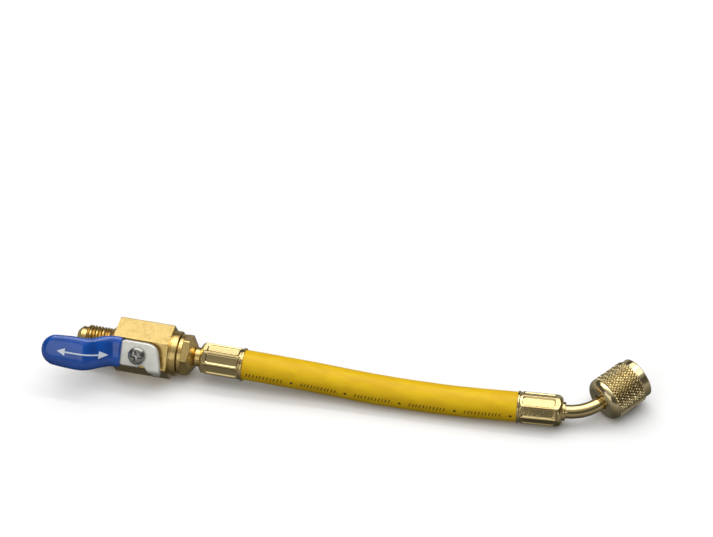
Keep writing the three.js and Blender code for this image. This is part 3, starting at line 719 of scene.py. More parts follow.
class Shader(Nodes):
    """The nodes of one material."""

    def __init__(self, name: str, own_frame: bool = True) -> None:
        """Starts a material with a Principled shader.

        Args:
            name: The material's name.
            own_frame: Whether its pieces keep their places in their own frames.
        """
        self.own_frame = own_frame
        self.material = bpy.data.materials.new(name)
        self.material.use_nodes = True
        super().__init__(self.material.node_tree)
        self.surface = self.make_node("ShaderNodeBsdfPrincipled")
        self.output = self.make_node("ShaderNodeOutputMaterial")
        self.finish_with(Socket(self, self.surface.outputs["BSDF"]))

    def finish_with(self, surface: Socket) -> None:
        """Links a shader to the material's output."""
        self.fill(self.output.inputs["Surface"], surface)

    def place(self, stretch: Colour = (1.0, 1.0, 1.0)) -> Socket:
        """The point on the piece in millimetres, in the piece's own frame, times stretch."""
        point = self.node("ShaderNodeAttribute", {"attribute_name": OWN_PLACE}, None, "Vector")
        if not self.own_frame:
            point = self.node("ShaderNodeTexCoord", output="Object")
        scale = tuple(share / MM for share in stretch)
        return self.node("ShaderNodeVectorMath", {"operation": "MULTIPLY"}, {0: point, 1: scale})

    def parts(self, vector: Socket) -> tuple[Socket, Socket, Socket]:
        """The X, Y and Z of a vector."""
        split = self.make_node("ShaderNodeSeparateXYZ", None, {"Vector": vector})
        return tuple(Socket(self, output) for output in split.outputs)

    def noise(self, vector: Socket, scale: float, detail: float = 2.0, rough: float = 0.5) -> Socket:
        """Noise with features about 1 / scale across."""
        inputs = {"Vector": vector, "Scale": scale, "Detail": detail, "Roughness": rough}
        return self.node("ShaderNodeTexNoise", {"noise_dimensions": "3D"}, inputs, "Fac")

    def cells(self, vector: Socket, scale: float) -> Socket:
        """The distance from the nearest of many scattered points."""
        return self.node("ShaderNodeTexVoronoi", None, {"Vector": vector, "Scale": scale}, "Distance")

    def mix(self, share: Value, first: object, second: object) -> Socket:
        """A colour between two.

        Args:
            share: 0 for the first, 1 for the second.
            first: A colour.
            second: Another.

        Returns:
            The mixed colour.
        """
        return self.node("ShaderNodeMix", {"data_type": "RGBA"}, {0: share, 6: first, 7: second}, 2)

    def bump(self, height: Socket, depth: float) -> None:
        """Lifts the surface's normal by a height.

        Args:
            height: From 0 to 1.
            depth: What 1 is worth, in millimetres.
        """
        inputs = {"Height": height, "Distance": depth * MM, "Strength": 1.0}
        normal = self.node("ShaderNodeBump", None, inputs, "Normal")
        self.fill(self.surface.inputs["Normal"], normal)

    def set(self, **values: object) -> None:
        """Sets or links inputs of the Principled shader, named with _ for each space."""
        for name, value in values.items():
            self.fill(self.surface.inputs[name.replace("_", " ")], value)


@dataclass(frozen=True)
class GrooveShade:
    """Painted shade: a dark colour laid in the grooves of a turned piece, where shade falls. Lengths are in
    its own frame.
    """

    start: float
    end: float
    bottom: float  # the radius that is darkest
    top: float  # the radius above which no shade is painted
    share: float = 0.85

    def mask(self, shader: Shader) -> Socket:
        """1 in the grooves, 0 elsewhere."""
        along, across, up = shader.parts(shader.place())
        radius = (across * across + up * up) ** 0.5
        inside = along.step(self.start - 0.1, self.start + 0.1) * along.step(self.end + 0.1, self.end - 0.1)
        return inside * radius.step(self.top, self.bottom) * radius.step(self.bottom - 1.1, self.bottom - 0.9)


@dataclass(frozen=True)
class RecessShade:
    """Painted shade: a dark colour laid in the recess of a screw's head, where shade falls."""

    level: float  # how far along the axis the head's face is
    depth: float
    radius: float
    share: float = 0.9

    def mask(self, shader: Shader) -> Socket:
        """1 in the recess, 0 elsewhere."""
        along, across, up = shader.parts(shader.place())
        radius = (across * across + up * up) ** 0.5
        low = self.level - 1.6 * self.depth
        sunk = along.step(self.level, self.level - self.depth) * along.step(low - 0.2, low)
        return sunk * radius.step(self.radius, self.radius - 0.25)


@dataclass(frozen=True)
class Metal:
    """A bare or plated metal with tool marks, pits, a little tarnish and, where given, painted shade in its
    grooves or recess.
    """

    name: str
    colour: Colour
    tarnish: Colour
    roughness: float
    grain: Grain
    grain_depth: float = 0.004
    grain_scale: float = 5.0
    pits: float = 0.0  # how dark the pits are
    tarnish_share: float = 0.35
    metallic: float = 1.0
    own_frame: bool = True
    # painted shade in grooves or in a recess, where there is any
    painted_shade: GrooveShade | RecessShade | None = None
    drawn_from: float = 0.0  # the stretch of a turned piece that keeps the bar's drawn lines
    drawn_to: float = 0.0

    def grain_height(self, shader: Shader) -> Socket:
        """The height of the tool marks, from 0 to 1."""
        scale = self.grain_scale
        if self.grain is Grain.ROLLED:
            return shader.noise(shader.place(), scale, 3.0, 0.6)
        rings = shader.noise(shader.place((scale, 0.08, 0.08)), 1.0, 3.0, 0.65)
        if self.drawn_to <= self.drawn_from:
            return rings
        lines = shader.noise(shader.place((0.10, scale, scale)), 1.0, 3.0, 0.65)
        along = shader.parts(shader.place())[0]
        drawn = along.step(self.drawn_from, self.drawn_from + 0.2)
        drawn = drawn * along.step(self.drawn_to, self.drawn_to - 0.2)
        return rings * (1 - drawn) + lines * drawn

    def make(self) -> bpy.types.Material:
        """Makes the material."""
        shader = Shader(self.name, self.own_frame)
        patches = shader.noise(shader.place(), 0.35, 3.0, 0.55)
        colour = shader.mix(patches.step(0.42, 0.72, 0.0, self.tarnish_share), self.colour, self.tarnish)
        grain = self.grain_height(shader)
        height = grain
        roughness = self.roughness + (patches - 0.5) * 0.10 + (grain - 0.5) * 0.12
        if self.pits:
            spots = shader.cells(shader.place((0.8, 1.2, 1.2)), 1.2).step(0.24, 0.15)
            scarce = shader.noise(shader.place(), 0.9, 1.0).step(0.47, 0.51)
            scratch = shader.noise(shader.place((0.2, 3.0, 3.0)), 1.0, 2.0).step(0.70, 0.76)
            marks = (spots * scarce).at_least(scratch * 0.5)
            dark = tuple(0.10 * channel for channel in self.colour)
            colour = shader.mix(marks * self.pits, colour, dark)
            height = grain * 0.6 + 0.4 - marks * 0.4
            roughness = roughness + marks * 0.2
        # Painted shade: the grooves or the recess are darkened in the base colour, and made rougher
        if self.painted_shade:
            shade_share = self.painted_shade.mask(shader) * self.painted_shade.share
            colour = shader.mix(shade_share, colour, tuple(0.12 * channel for channel in self.tarnish))
            roughness = roughness + shade_share * 0.3
        shader.set(Base_Color=colour, Metallic=self.metallic, Roughness=roughness.at_least(0.03))
        shader.bump(height, self.grain_depth)
        return shader.material


@dataclass(frozen=True)
class DippedVinyl:
    """Thick glossy vinyl with a plain printed double arrow."""

    name: str = "blue_dipped_vinyl"
    colour: Colour = (0.003, 0.080, 0.42)
    shade: Colour = (0.002, 0.055, 0.30)
    print_colour: Colour = (0.72, 0.78, 0.86)
    print_middle: Colour = (-20.5, -1.1, 0.0)
    print_reach: float = 9.6  # half the arrow's length
    print_line: float = 0.28  # half the line's width
    head_length: float = 3.2
    head_half: float = 1.5
    blur: float = 0.06  # half the width of the print's soft edge

    def printed(self, shader: Shader) -> Socket:
        """1 where the double arrow is printed, on the outer side alone."""
        along, across, _ = shader.parts(shader.place())
        normal = shader.node("ShaderNodeTexCoord", output="Normal")
        out = tuple(LEVER_FRAME.col[2][:3])
        settings = {"operation": "DOT_PRODUCT"}
        facing = shader.node("ShaderNodeVectorMath", settings, {0: normal, 1: out}, "Value")
        outward = facing.step(0.45, 0.6)
        along = abs(along - self.print_middle[0])
        across = abs(across - self.print_middle[1])
        line = across.step(self.print_line + self.blur, self.print_line - self.blur)
        head_start = self.print_reach - self.head_length
        line = line * along.step(head_start, head_start - 0.1)
        narrowing = (self.print_reach - along) * (self.head_half / self.head_length)
        head = (narrowing - across).step(-self.blur, self.blur)
        head = head * along.step(head_start - self.blur, head_start)
        return line.at_least(head) * outward

    def make(self) -> bpy.types.Material:
        """Makes the material."""
        shader = Shader(self.name)
        clouds = shader.noise(shader.place(), 0.22, 3.0, 0.5)
        colour = shader.mix(clouds.step(0.3, 0.7), self.shade, self.colour)
        ink = self.printed(shader)
        colour = shader.mix(ink, colour, self.print_colour)
        specks = shader.noise(shader.place(), 2.5, 3.0, 0.6)
        dimples = shader.noise(shader.place(), 0.5, 2.0)
        shader.set(
            Base_Color=colour,
            Roughness=0.20 + (specks - 0.5) * 0.16 + ink * 0.15,
            Coat_Weight=1.0 - ink * 0.6,
            Coat_Roughness=0.04,
            IOR=1.5,
        )
        shader.bump(dimples * 0.8 + specks * 0.2 + ink * 0.12, 0.10)
        return shader.material


@dataclass(frozen=True)
class HoseCover:
    """Smooth yellow rubber with a plain row of printed ticks and dots along one side."""

    name: str = "yellow_hose_cover"
    colour: Colour = (0.80, 0.51, 0.001)
    shade: Colour = (0.72, 0.43, 0.001)
    ink_colour: Colour = (0.035, 0.022, 0.008)
    row_angle: float = 177.0  # degrees from the side that faces +Y, going up
    row_height: float = 1.7
    tick_pitch: float = 1.35
    tick_width: float = 0.42
    group: float = 21.6  # length of a run of ticks with its dot

    def inked(self, shader: Shader, along: Socket, around: Socket) -> Socket:
        """How much of the cover is inked.

        Args:
            shader: The material.
            along: Millimetres along the hose.
            around: Degrees round it.

        Returns:
            1 where the ink is.
        """
        across = abs((around - self.row_angle) * (math.pi * HOSE_DIAMETER / 360))
        in_row = across.step(self.row_height / 2 + 0.08, self.row_height / 2 - 0.08)
        place = along % self.group
        slanted = place + (around - self.row_angle) * 0.03
        tick = abs((slanted % self.tick_pitch) - self.tick_pitch / 2)
        tick = tick.step(self.tick_width / 2 + 0.08, self.tick_width / 2 - 0.08)
        in_run = place.step(1.2, 1.3) * place.step(self.group - 4.9, self.group - 5.0)
        from_dot = place - (self.group - 2.0)
        dot = (from_dot * from_dot + across * across).step(0.40, 0.22)
        worn = shader.noise(shader.place(), 1.6, 3.0, 0.7).step(0.30, 0.42, 0.75, 1.0)
        return (tick * in_run * in_row).at_least(dot) * worn

    def make(self) -> bpy.types.Material:
        """Makes the material."""
        shader = Shader(self.name)
        spread = shader.node("ShaderNodeUVMap", {"uv_map": "lay"}, None, "UV")
        along, around, _ = shader.parts(spread)
        along, around = along * LAY_LENGTH, around * 360.0
        clouds = shader.noise(shader.place((0.35, 1.0, 1.0)), 0.30, 3.0, 0.55)
        colour = shader.mix(clouds.step(0.32, 0.68), self.shade, self.colour)
        ink = self.inked(shader, along, around)
        colour = shader.mix(ink * 0.93, colour, self.ink_colour)
        streaks = shader.noise(shader.place((0.12, 2.2, 2.2)), 1.0, 3.0, 0.6)
        pores = shader.noise(shader.place(), 4.5, 2.0, 0.6)
        shader.set(
            Base_Color=colour,
            Roughness=0.43 + (streaks - 0.5) * 0.2 + (pores - 0.5) * 0.12,
            Specular_IOR_Level=0.28,
        )
        shader.bump(streaks * 0.6 + pores * 0.4, 0.035)
        return shader.material


@dataclass(frozen=True)
class PlainPolymer:
    """A matt plastic or rubber with a fine skin."""

    name: str
    colour: Colour
    roughness: float

    def make(self) -> bpy.types.Material:
        """Makes the material."""
        shader = Shader(self.name)
        clouds = shader.noise(shader.place(), 0.8, 3.0, 0.6)
        shade = tuple(0.75 * channel for channel in self.colour)
        shader.set(
            Base_Color=shader.mix(clouds, shade, self.colour),
            Roughness=self.roughness + (clouds - 0.5) * 0.15,
        )
        shader.bump(shader.noise(shader.place(), 6.0, 2.0), 0.01)
        return shader.material


class Finishes:
    """Every material, made once."""

    def __init__(self) -> None:
        """Makes them."""
        brass = (0.82, 0.60, 0.225)
        tarnish = (0.58, 0.37, 0.11)
        pale_brass = (0.85, 0.665, 0.31)
        pale_tarnish = (0.66, 0.49, 0.20)
        crest = THREAD_MAJOR / 2
        # painted shade in the grooves of the valve's flare thread
        thread_groove_shade = GrooveShade(
            FLARE_THREAD_START + 0.1, FLARE_THREAD_END - 0.2, crest - THREAD_DEPTH, crest - 0.25
        )
        self.bar_brass = Metal(
            "bar_brass",
            brass,
            tarnish,
            0.26,
            Grain.TURNED,
            grain_scale=4.0,
            pits=0.9,
            painted_shade=thread_groove_shade,
            drawn_from=-11.0,
            drawn_to=11.0,
        ).make()
        self.turned_brass = Metal("turned_brass", brass, tarnish, 0.24, Grain.TURNED, 0.004, 4.0).make()
        self.bright_brass = Metal(
            "bright_brass", pale_brass, pale_tarnish, 0.07, Grain.ROLLED, 0.012, 0.7, 0.0, 0.3
        ).make()
        knurl_end, round_radius = NUT_BEVEL + KNURL_LENGTH, NUT_DIAMETER / 2
        # painted shade in the grooves of the nut's knurl
        knurl_groove_shade = GrooveShade(NUT_BEVEL + 0.2, knurl_end - 0.1, round_radius - 0.55, round_radius - 0.19, 0.92)
        nut_colour = (0.92, 0.76, 0.42)
        self.nut_brass = Metal(
            "nut_brass", nut_colour, pale_tarnish, 0.10, Grain.TURNED, 0.003, 4.0, painted_shade=knurl_groove_shade
        ).make()
        plate, dull_plate = (0.86, 0.85, 0.77), (0.70, 0.69, 0.62)
        self.plated_steel = Metal(
            "plated_steel", plate, dull_plate, 0.40, Grain.ROLLED, 0.010, 1.6, 0.0, 0.5, 0.55
        ).make()
        steel, dull_steel = (0.50, 0.49, 0.44), (0.28, 0.27, 0.24)
        screw_top = LEVER_INNER + LEVER_THICKNESS + CLEARANCE + SCREW_HEIGHT
        # painted shade in the screw head's cross recess
        recess_shade = RecessShade(screw_top - 0.325, 0.5, 2.35)
        self.screw_steel = Metal(
            "screw_steel", steel, dull_steel, 0.20, Grain.TURNED, 0.003, 4.0, painted_shade=recess_shade
        ).make()
        self.stem_steel = Metal(
            "stem_steel", steel, dull_steel, 0.3, Grain.ROLLED, own_frame=False
        ).make()
        self.chrome = Metal(
            "chrome", (0.75, 0.75, 0.74), (0.6, 0.6, 0.58), 0.07, Grain.ROLLED, 0.002, 2.0, 0.0, 0.2
        ).make()
        self.dipped_vinyl = DippedVinyl().make()
        self.hose_cover = HoseCover().make()
        self.seat_plastic = PlainPolymer("seat_plastic", (0.83, 0.82, 0.78), 0.5).make()
        self.gasket_rubber = PlainPolymer("gasket_rubber", (0.018, 0.018, 0.018), 0.65).make()


def settle(piece: bpy.types.Object) -> None:
    """Notes each point's place in the piece's own frame, and puts the mesh in the part's frame."""
    mesh = piece.data
    places = np.empty(len(mesh.vertices) * 3, np.float32)
    mesh.vertices.foreach_get("co", places)
    mesh.attributes.new(OWN_PLACE, "FLOAT_VECTOR", "POINT").data.foreach_set("vector", places)
    mesh.transform(piece.matrix_world)
    piece.matrix_world = Matrix()


def dress(
    piece: bpy.types.Object, material: bpy.types.Material, body: Body, nodes: Sequence[str]
) -> bpy.types.Object:
    """Gives a piece its material, its body and the nodes that it stands for.

    Args:
        piece: The piece, in place.
        material: Its material.
        body: The body that it rides on.
        nodes: The nodes that it replaces.

    Returns:
        The piece.
    """
    settle(piece)
    piece.data.materials.clear()
    piece.data.materials.append(material)
    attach(piece, body.value)
    if nodes:
        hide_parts(*nodes)
    log.info("made %s, %d faces", piece.name, len(piece.data.polygons))
    return piece


# The studio


@dataclass(frozen=True)
class SoftLight:
    """An oblong soft light. Its place and size are in metres."""

    name: str
    place: tuple[float, float, float]
    size: tuple[float, float]
    radiance: float  # how bright its face is
    mirrored: bool = True  # whether metals mirror it

    def build(self, target: Sequence[float]) -> None:
        """Adds the light, facing a point."""
        data = bpy.data.lights.new(self.name, "AREA")
        data.shape = "RECTANGLE"
        data.size, data.size_y = self.size
        data.energy = self.radiance * math.pi * self.size[0] * self.size[1]
        light = add_object(self.name, data)
        light.location = self.place
        forward = Vector(target) - Vector(self.place)
        light.rotation_euler = forward.to_track_quat("-Z", "Y").to_euler()
        light.visible_glossy = self.mirrored


@dataclass
class Studio:
    """A white table under large soft lights, and the camera at the photograph's angle."""

    azimuth: float = math.radians(13.5)
    elevation: float = math.radians(43)
    lens: float = 200.0
    sensor: float = 36.0
    frame_width: int = 713
    frame_height: int = 537
    pixels_per_mm: float = 2.564
    sighted_point: tuple[float, float, float] = (85.0, 5.0, 8.0)  # a point of the object
    sighted_pixel: tuple[float, float] = (359.0, 377.5)  # where the frame shows it
    table_size: float = 9.0
    table_colour: Colour = (0.93, 0.93, 0.93)
    light_target: tuple[float, float, float] = (0.085, 0.0, 0.0)  # where every light points
    lights: tuple[SoftLight, ...] = (
        SoftLight("overhead", (0.085, 0.36, 1.0), (1.7, 1.25), 1.2),
        SoftLight("strip", (0.085, 0.30, 0.93), (1.9, 0.07), 5.0),
        SoftLight("card", (-0.24, -1.0, 0.50), (1.0, 0.7), 0.75),
        SoftLight("fill", (0.0, -0.55, 1.15), (1.2, 1.2), 1.5, mirrored=False),
    )
    # How bright the room is, from straight down (0) over the horizon (0.5) to straight up (1)
    room_stops: tuple[tuple[float, float], ...] = (
        (0.0, 0.05),
        (0.3, 0.22),
        (0.48, 0.36),
        (0.53, 0.18),
        (0.62, 0.08),
        (0.8, 0.08),
        (0.95, 0.45),
    )

    def build_camera(self) -> None:
        """Places the camera."""
        sin_a, cos_a = math.sin(self.azimuth), math.cos(self.azimuth)
        sin_e, cos_e = math.sin(self.elevation), math.cos(self.elevation)
        forward = Vector((-sin_a * cos_e, cos_a * cos_e, -sin_e))
        right = Vector((cos_a, sin_a, 0))
        up = right.cross(forward)
        distance = self.lens / self.sensor * self.frame_width / self.pixels_per_mm
        off_right = (self.sighted_pixel[0] - self.frame_width / 2) / self.pixels_per_mm
        off_down = (self.sighted_pixel[1] - self.frame_height / 2) / self.pixels_per_mm
        place = Vector(self.sighted_point) - forward * distance - right * off_right + up * off_down
        data = bpy.data.cameras.new("camera")
        data.lens = self.lens
        data.sensor_width = self.sensor
        data.clip_start, data.clip_end = 0.05, 30.0
        axes = Matrix((right, up, -forward)).transposed().to_4x4()
        camera = add_object("camera", data, Matrix.Translation(place * MM) @ axes)
        bpy.context.scene.camera = camera

    def build_table(self) -> None:
        """Makes the white table top."""
        half = self.table_size / 2
        corners = [(-half, -half, 0), (half, -half, 0), (half, half, 0), (-half, half, 0)]
        mesh = bpy.data.meshes.new("table_top")
        mesh.from_pydata(corners, [], [(0, 1, 2, 3)])
        table = add_object("table_top", mesh)
        shader = Shader("table_white")
        paper = shader.node("ShaderNodeBsdfDiffuse", None, {"Color": self.table_colour})
        shader.finish_with(paper)
        mesh.materials.append(shader.material)
        # The metals mirror the lights and the room, and the table neither lights nor shows in them
        table.visible_diffuse = False
        table.visible_glossy = False

    def build_room(self) -> None:
        """Makes the room: dim walls, a lighter band round the horizon and a lighter ceiling."""
        scene = bpy.context.scene
        world = bpy.data.worlds.new("room")
        scene.world = world
        world.use_nodes = True
        nodes = Nodes(world.node_tree)
        direction = nodes.node("ShaderNodeTexCoord", output="Generated")
        height = nodes.node("ShaderNodeSeparateXYZ", None, {"Vector": direction}, "Z")
        share = nodes.node("ShaderNodeMapRange", None, {"Value": height, "From Min": -1.0}, "Result")
        stops = [(place, (level, level, level)) for place, level in self.room_stops]
        level = nodes.node("ShaderNodeValToRGB", {"stops": stops}, {"Fac": share}, "Color")
        background = nodes.node("ShaderNodeBackground", None, {"Color": level})
        nodes.make_node("ShaderNodeOutputWorld", None, {"Surface": background})
        scene.view_settings.view_transform = "Standard"
        scene.view_settings.look = "None"

    def build(self) -> None:
        """Builds the camera, the table and the lights."""
        self.build_camera()
        self.build_table()
        for light in self.lights:
            light.build(self.light_target)
        self.build_room()


# The hose


@dataclass
class Hose:
    """The rubber hose, with the ends that the ferrules grip."""

    diameter: float = HOSE_DIAMETER
    bore: float = 4.8
    gripped_diameter: float = 9.4
    gripped_bore: float = 6.4
    gripped_length: float = 15.7
    heading: float = math.radians(5.6)
    sides: int = 64
    piece: bpy.types.Object | None = None
    path: list[list[float]] = field(default_factory=list)  # the middle line, in metres
    length: float = 0.0  # along it, in metres

    def route(self) -> np.ndarray:
        """The middle line in millimetres, one point every half millimetre or so."""
        points = np.array(HOSE_ROUTE) / MM
        places = np.concatenate([[0.0], np.cumsum(np.linalg.norm(np.diff(points, axis=0), axis=1))])
        slopes = np.gradient(points, places, axis=0)
        slopes[0] = (1, 0, 0)
        slopes[-1] = (math.cos(self.heading), math.sin(self.heading), 0)
        line: list[np.ndarray] = []
        for i, width in enumerate(np.diff(places)):
            for share in np.linspace(0, 1, max(2, round(width / 0.5)), endpoint=False):
                square, cube = share**2, share**3
                line.append(
                    points[i] * (2 * cube - 3 * square + 1)
                    + slopes[i] * width * (cube - 2 * square + share)
                    + points[i + 1] * (3 * square - 2 * cube)
                    + slopes[i + 1] * width * (cube - square)
                )
        line.append(points[-1])
        before = points[0] - slopes[0] * self.gripped_length
        after = points[-1] + slopes[-1] * self.gripped_length
        return np.array([before, *line, after])

    def build(self) -> "Hose":
        """Builds the hose as a tube with its bore."""
        line = self.route()
        spine = Spine(line, -self.gripped_length)
        length = spine.along[-1] - self.gripped_length
        outer, inner = self.diameter / 2, self.bore / 2
        held, held_bore = self.gripped_diameter / 2, self.gripped_bore / 2
        end = length + self.gripped_length
        outline = rounded_outline(
            [
                (-self.gripped_length, held_bore, 0.2),
                (-self.gripped_length, held, 0.3),
                (-1.6, held, 0.6),
                (-0.2, outer, 0.6),
                (length + 0.2, outer, 0.6),
                (length + 1.6, held, 0.6),
                (end, held, 0.3),
                (end, held_bore, 0.2),
                (length + 2.0, held_bore, 1.0),
                (length - 1.0, inner, 1.0),
                (1.0, inner, 1.0),
                (-2.0, held_bore, 1.0),
            ],
            0.8,
        )
        self.piece = Surface.turned(outline, self.sides, spine=spine).piece("hose_cover", Matrix())
        self.spread_lay(spine)
        self.path = (spine.points * MM).tolist()
        self.length = float(spine.along[-1] - spine.along[0]) * MM
        return self

    def spread_lay(self, spine: Spine) -> None:
        """Gives the mesh a map of the place along and the angle round, for the printed row.

        Args:
            spine: The hose's middle line.
        """
        mesh = self.piece.data
        places = np.array([vertex.co for vertex in mesh.vertices]) / MM
        fine = np.arange(spine.along[0], spine.along[-1], 0.25)
        middle, side, up = spine.frames(fine)
        nearest = np.array([np.argmin(((middle - place) ** 2).sum(1)) for place in places])
        off = places - middle[nearest]
        angle = np.degrees(np.arctan2((off * up[nearest]).sum(1), (off * side[nearest]).sum(1)))
        # The map's seam is at the back of the hose, away from the printed row
        around = (angle % 360.0) / 360.0
        along = fine[nearest] / LAY_LENGTH
        layer = mesh.uv_layers.new(name="lay")
        corners = np.array([loop.vertex_index for loop in mesh.loops])
        around_loops = around[corners]
        for face in mesh.polygons:
            loops = slice(face.loop_start, face.loop_start + face.loop_total)
            spans = around_loops[loops]
            if spans.max() - spans.min() > 0.5:
                around_loops[loops] = np.where(spans < 0.5, spans + 1.0, spans)
        values = np.stack([along[corners], around_loops], axis=1)
        layer.data.foreach_set("uv", values.astype(np.float32).ravel())

    def dress(self, finishes: Finishes) -> None:
        dress(self.piece, finishes.hose_cover, Body.FIXED, ["hose"])


# The valve


@dataclass
class Valve:
    """The hexagonal ball valve with its flare thread, and what is inside it."""

    across_flats: float = 19.05
    half_length: float = 11.0
    thread_start: float = FLARE_THREAD_START
    thread_end: float = FLARE_THREAD_END
    nose_diameter: float = 9.2
    nose_length: float = 2.3
    tip_diameter: float = 6.0
    port: float = 4.8
    neck_diameter: float = 10.6
    shoulder_diameter: float = 17.2
    collar_diameter: float = 17.6
    collar_start: float = 11.7
    collar_length: float = 2.4
    groove_depth: float = 0.35
    cavity: float = 10.6
    seat_stop: float = 6.6
    fitting_bore: float = 12.4
    gland_bottom: float = 7.925
    gland_top: float = 10.825
    gland_diameter: float = 8.0
    stem_bore: float = 4.8
    ball_diameter: float = 10.0
    slot_width: float = 2.2
    slot_floor: float = 3.1
    seat_start: float = 2.25
    seat_end: float = 6.3
    seat_radius: float = 5.0
    seat_bore: float = 2.6  # its radius

    def build(self) -> "Valve":
        """Builds the valve's body, gland, seats and ball."""
        self.body = self.build_body()
        self.gland = self.build_gland()
        self.seats = [self.build_seat("seat_ring_inlet", -1), self.build_seat("seat_ring_outlet", 1)]
        self.ball = self.build_ball()
        return self

    def build_body(self) -> bpy.types.Object:
        """Builds the body, bored through, with the stem's bore cut into its tilted flat."""
        corner = self.across_flats / math.sqrt(3)
        nose = self.nose_diameter / 2
        nose_start = self.thread_start - self.nose_length
        tip = nose_start - (self.nose_diameter - self.tip_diameter) / 2
        half, collar = self.half_length, self.collar_diameter / 2
        collar_end = self.collar_start + self.collar_length
        crest = THREAD_MAJOR / 2
        outline = rounded_outline(
            [
                (tip, self.port / 2 + 0.15, 0.15),
                (tip, self.tip_diameter / 2, 0.25),
                (nose_start, nose, 0.35),
                (self.thread_start - 0.15, nose, 0.1),
                (self.thread_start - 0.15, crest - 0.75, 0.1),
                (self.thread_start + 0.45, crest, 0.1),
                (self.thread_end, crest, 0.1),
                (self.thread_end, self.neck_diameter / 2 - 0.35, 0.2),
                (self.thread_end + 0.7, self.neck_diameter / 2, 0.3),
                (self.thread_end + 1.7, self.neck_diameter / 2 + 0.4, 0.6),
                (-half, self.shoulder_diameter / 2, 0.35),
                (-half, corner - 0.35, 0.12),
                (0.5 - half, corner + 0.2, 0.2),
                (half - 0.35, corner + 0.2, 0.2),
                (half, corner - 0.25, 0.1),
                (half, self.collar_diameter / 2 - self.groove_depth, 0.08),
                (self.collar_start, collar - self.groove_depth, 0.08),
                (self.collar_start, collar, 0.22),
                (collar_end, collar, 0.32),
                (collar_end, self.fitting_bore / 2, 0.15),
                (self.seat_stop - 0.3, self.fitting_bore / 2, 0.1),
                (self.seat_stop - 0.3, self.cavity / 2, 0.1),
                (-self.seat_stop, self.cavity / 2, 0.1),
                (-self.seat_stop, self.port / 2, 0.15),
                (tip + 0.4, self.port / 2, 0.1),
            ],
            0.28,
        )
        reliefs = [
            Thread(self.thread_start, self.thread_end + 0.4, crest),
            Flats(6, self.across_flats, -half, half, 30.0, 260.0, 0.03),
        ]
        body = Surface.turned(outline, 216, reliefs).piece("valve_body_bar", VALVE_FRAME)
        bore = rounded_outline(
            [
                (0.0, 0.0),
                (0.0, self.stem_bore / 2),
                (self.gland_bottom - CLEARANCE, self.stem_bore / 2),
                (self.gland_bottom - CLEARANCE, self.gland_diameter / 2 + CLEARANCE),
                (self.gland_top + 6.0, self.gland_diameter / 2 + CLEARANCE),
                (self.gland_top + 6.0, 0.0),
            ],
            3.0,
            closed=False,
        )
        tool = Surface.turned(bore, 64, closed=False).piece("stem_bore_tool", STEM_FRAME)
        cut_with(body, [tool])
        return body

    def build_gland(self) -> bpy.types.Object:
        """Builds the gland nut's ring around the stem."""
        radius = self.gland_diameter / 2
        outline = rounded_outline(
            [
                (self.gland_bottom, self.stem_bore / 2, 0.1),
                (self.gland_bottom, radius, 0.2),
                (self.gland_top, radius, 0.35),
                (self.gland_top, self.stem_bore / 2, 0.15),
            ],
            0.4,
        )
        return Surface.turned(outline, 96).piece("gland_ring", STEM_FRAME)

    def build_seat(self, name: str, side: int) -> bpy.types.Object:
        """Builds a seat, a ring with a cup for the ball.

        Args:
            name: The piece's name.
            side: -1 for the inlet's, 1 for the outlet's.

        Returns:
            The piece.
        """
        cup = self.ball_diameter / 2 + CLEARANCE
        start, end, outer, bore = self.seat_start, self.seat_end, self.seat_radius, self.seat_bore
        arc = [(math.sqrt(cup**2 - r**2), r) for r in np.linspace(bore, min(outer, cup) - 0.35, 14)]
        corners = [(x, r) for x, r in reversed(arc) if x > start]
        back = [(start, outer - 0.3), (start, outer), (end, outer, 0.2), (end, bore, 0.2)]
        outline = rounded_outline([*reversed(corners), *back], 0.4)
        place = VALVE_FRAME if side > 0 else VALVE_FRAME @ Matrix.Rotation(math.pi, 4, "Z")
        return Surface.turned(outline, 96).piece(name, place)

    def build_ball(self) -> bpy.types.Object:
        """Builds the ball with its port and the slot for the stem's tang."""
        radius, bore = self.ball_diameter / 2, self.port / 2
        reach = math.sqrt(radius**2 - bore**2)
        limit = math.acos(reach / radius)
        arc = [
            (-radius * math.cos(turn), radius * math.sin(turn))
            for turn in np.linspace(limit, math.pi - limit, 49)
        ]
        outline = rounded_outline([*arc, (reach, bore)], 0.6)
        ball = Surface.turned(outline[:-1], 96).piece("ball_bored", VALVE_FRAME)
        slot = bpy.data.meshes.new("ball_slot_tool")
        shape = bmesh.new()
        bmesh.ops.create_cube(shape, size=1.0)
        height = 6.0
        size = Vector((self.slot_width, 14.0, height)) * MM
        middle = Vector((0, 0, self.slot_floor + height / 2)) * MM
        bmesh.ops.scale(shape, vec=size, verts=shape.verts)
        bmesh.ops.translate(shape, vec=middle, verts=shape.verts)
        shape.to_mesh(slot)
        shape.free()
        cut_with(ball, [add_object("ball_slot_tool", slot, LEVER_FRAME)])
        return ball

    def dress(self, finishes: Finishes) -> None:
        """Dresses the valve's pieces."""
        dress(self.body, finishes.bar_brass, Body.FIXED, ["valve_body"])
        dress(self.gland, finishes.turned_brass, Body.FIXED, ["stem_gland"])
        for seat, node in zip(self.seats, ("seat_inlet", "seat_outlet")):
            dress(seat, finishes.seat_plastic, Body.FIXED, [node])
        dress(self.ball, finishes.chrome, Body.LEVER, ["ball"])


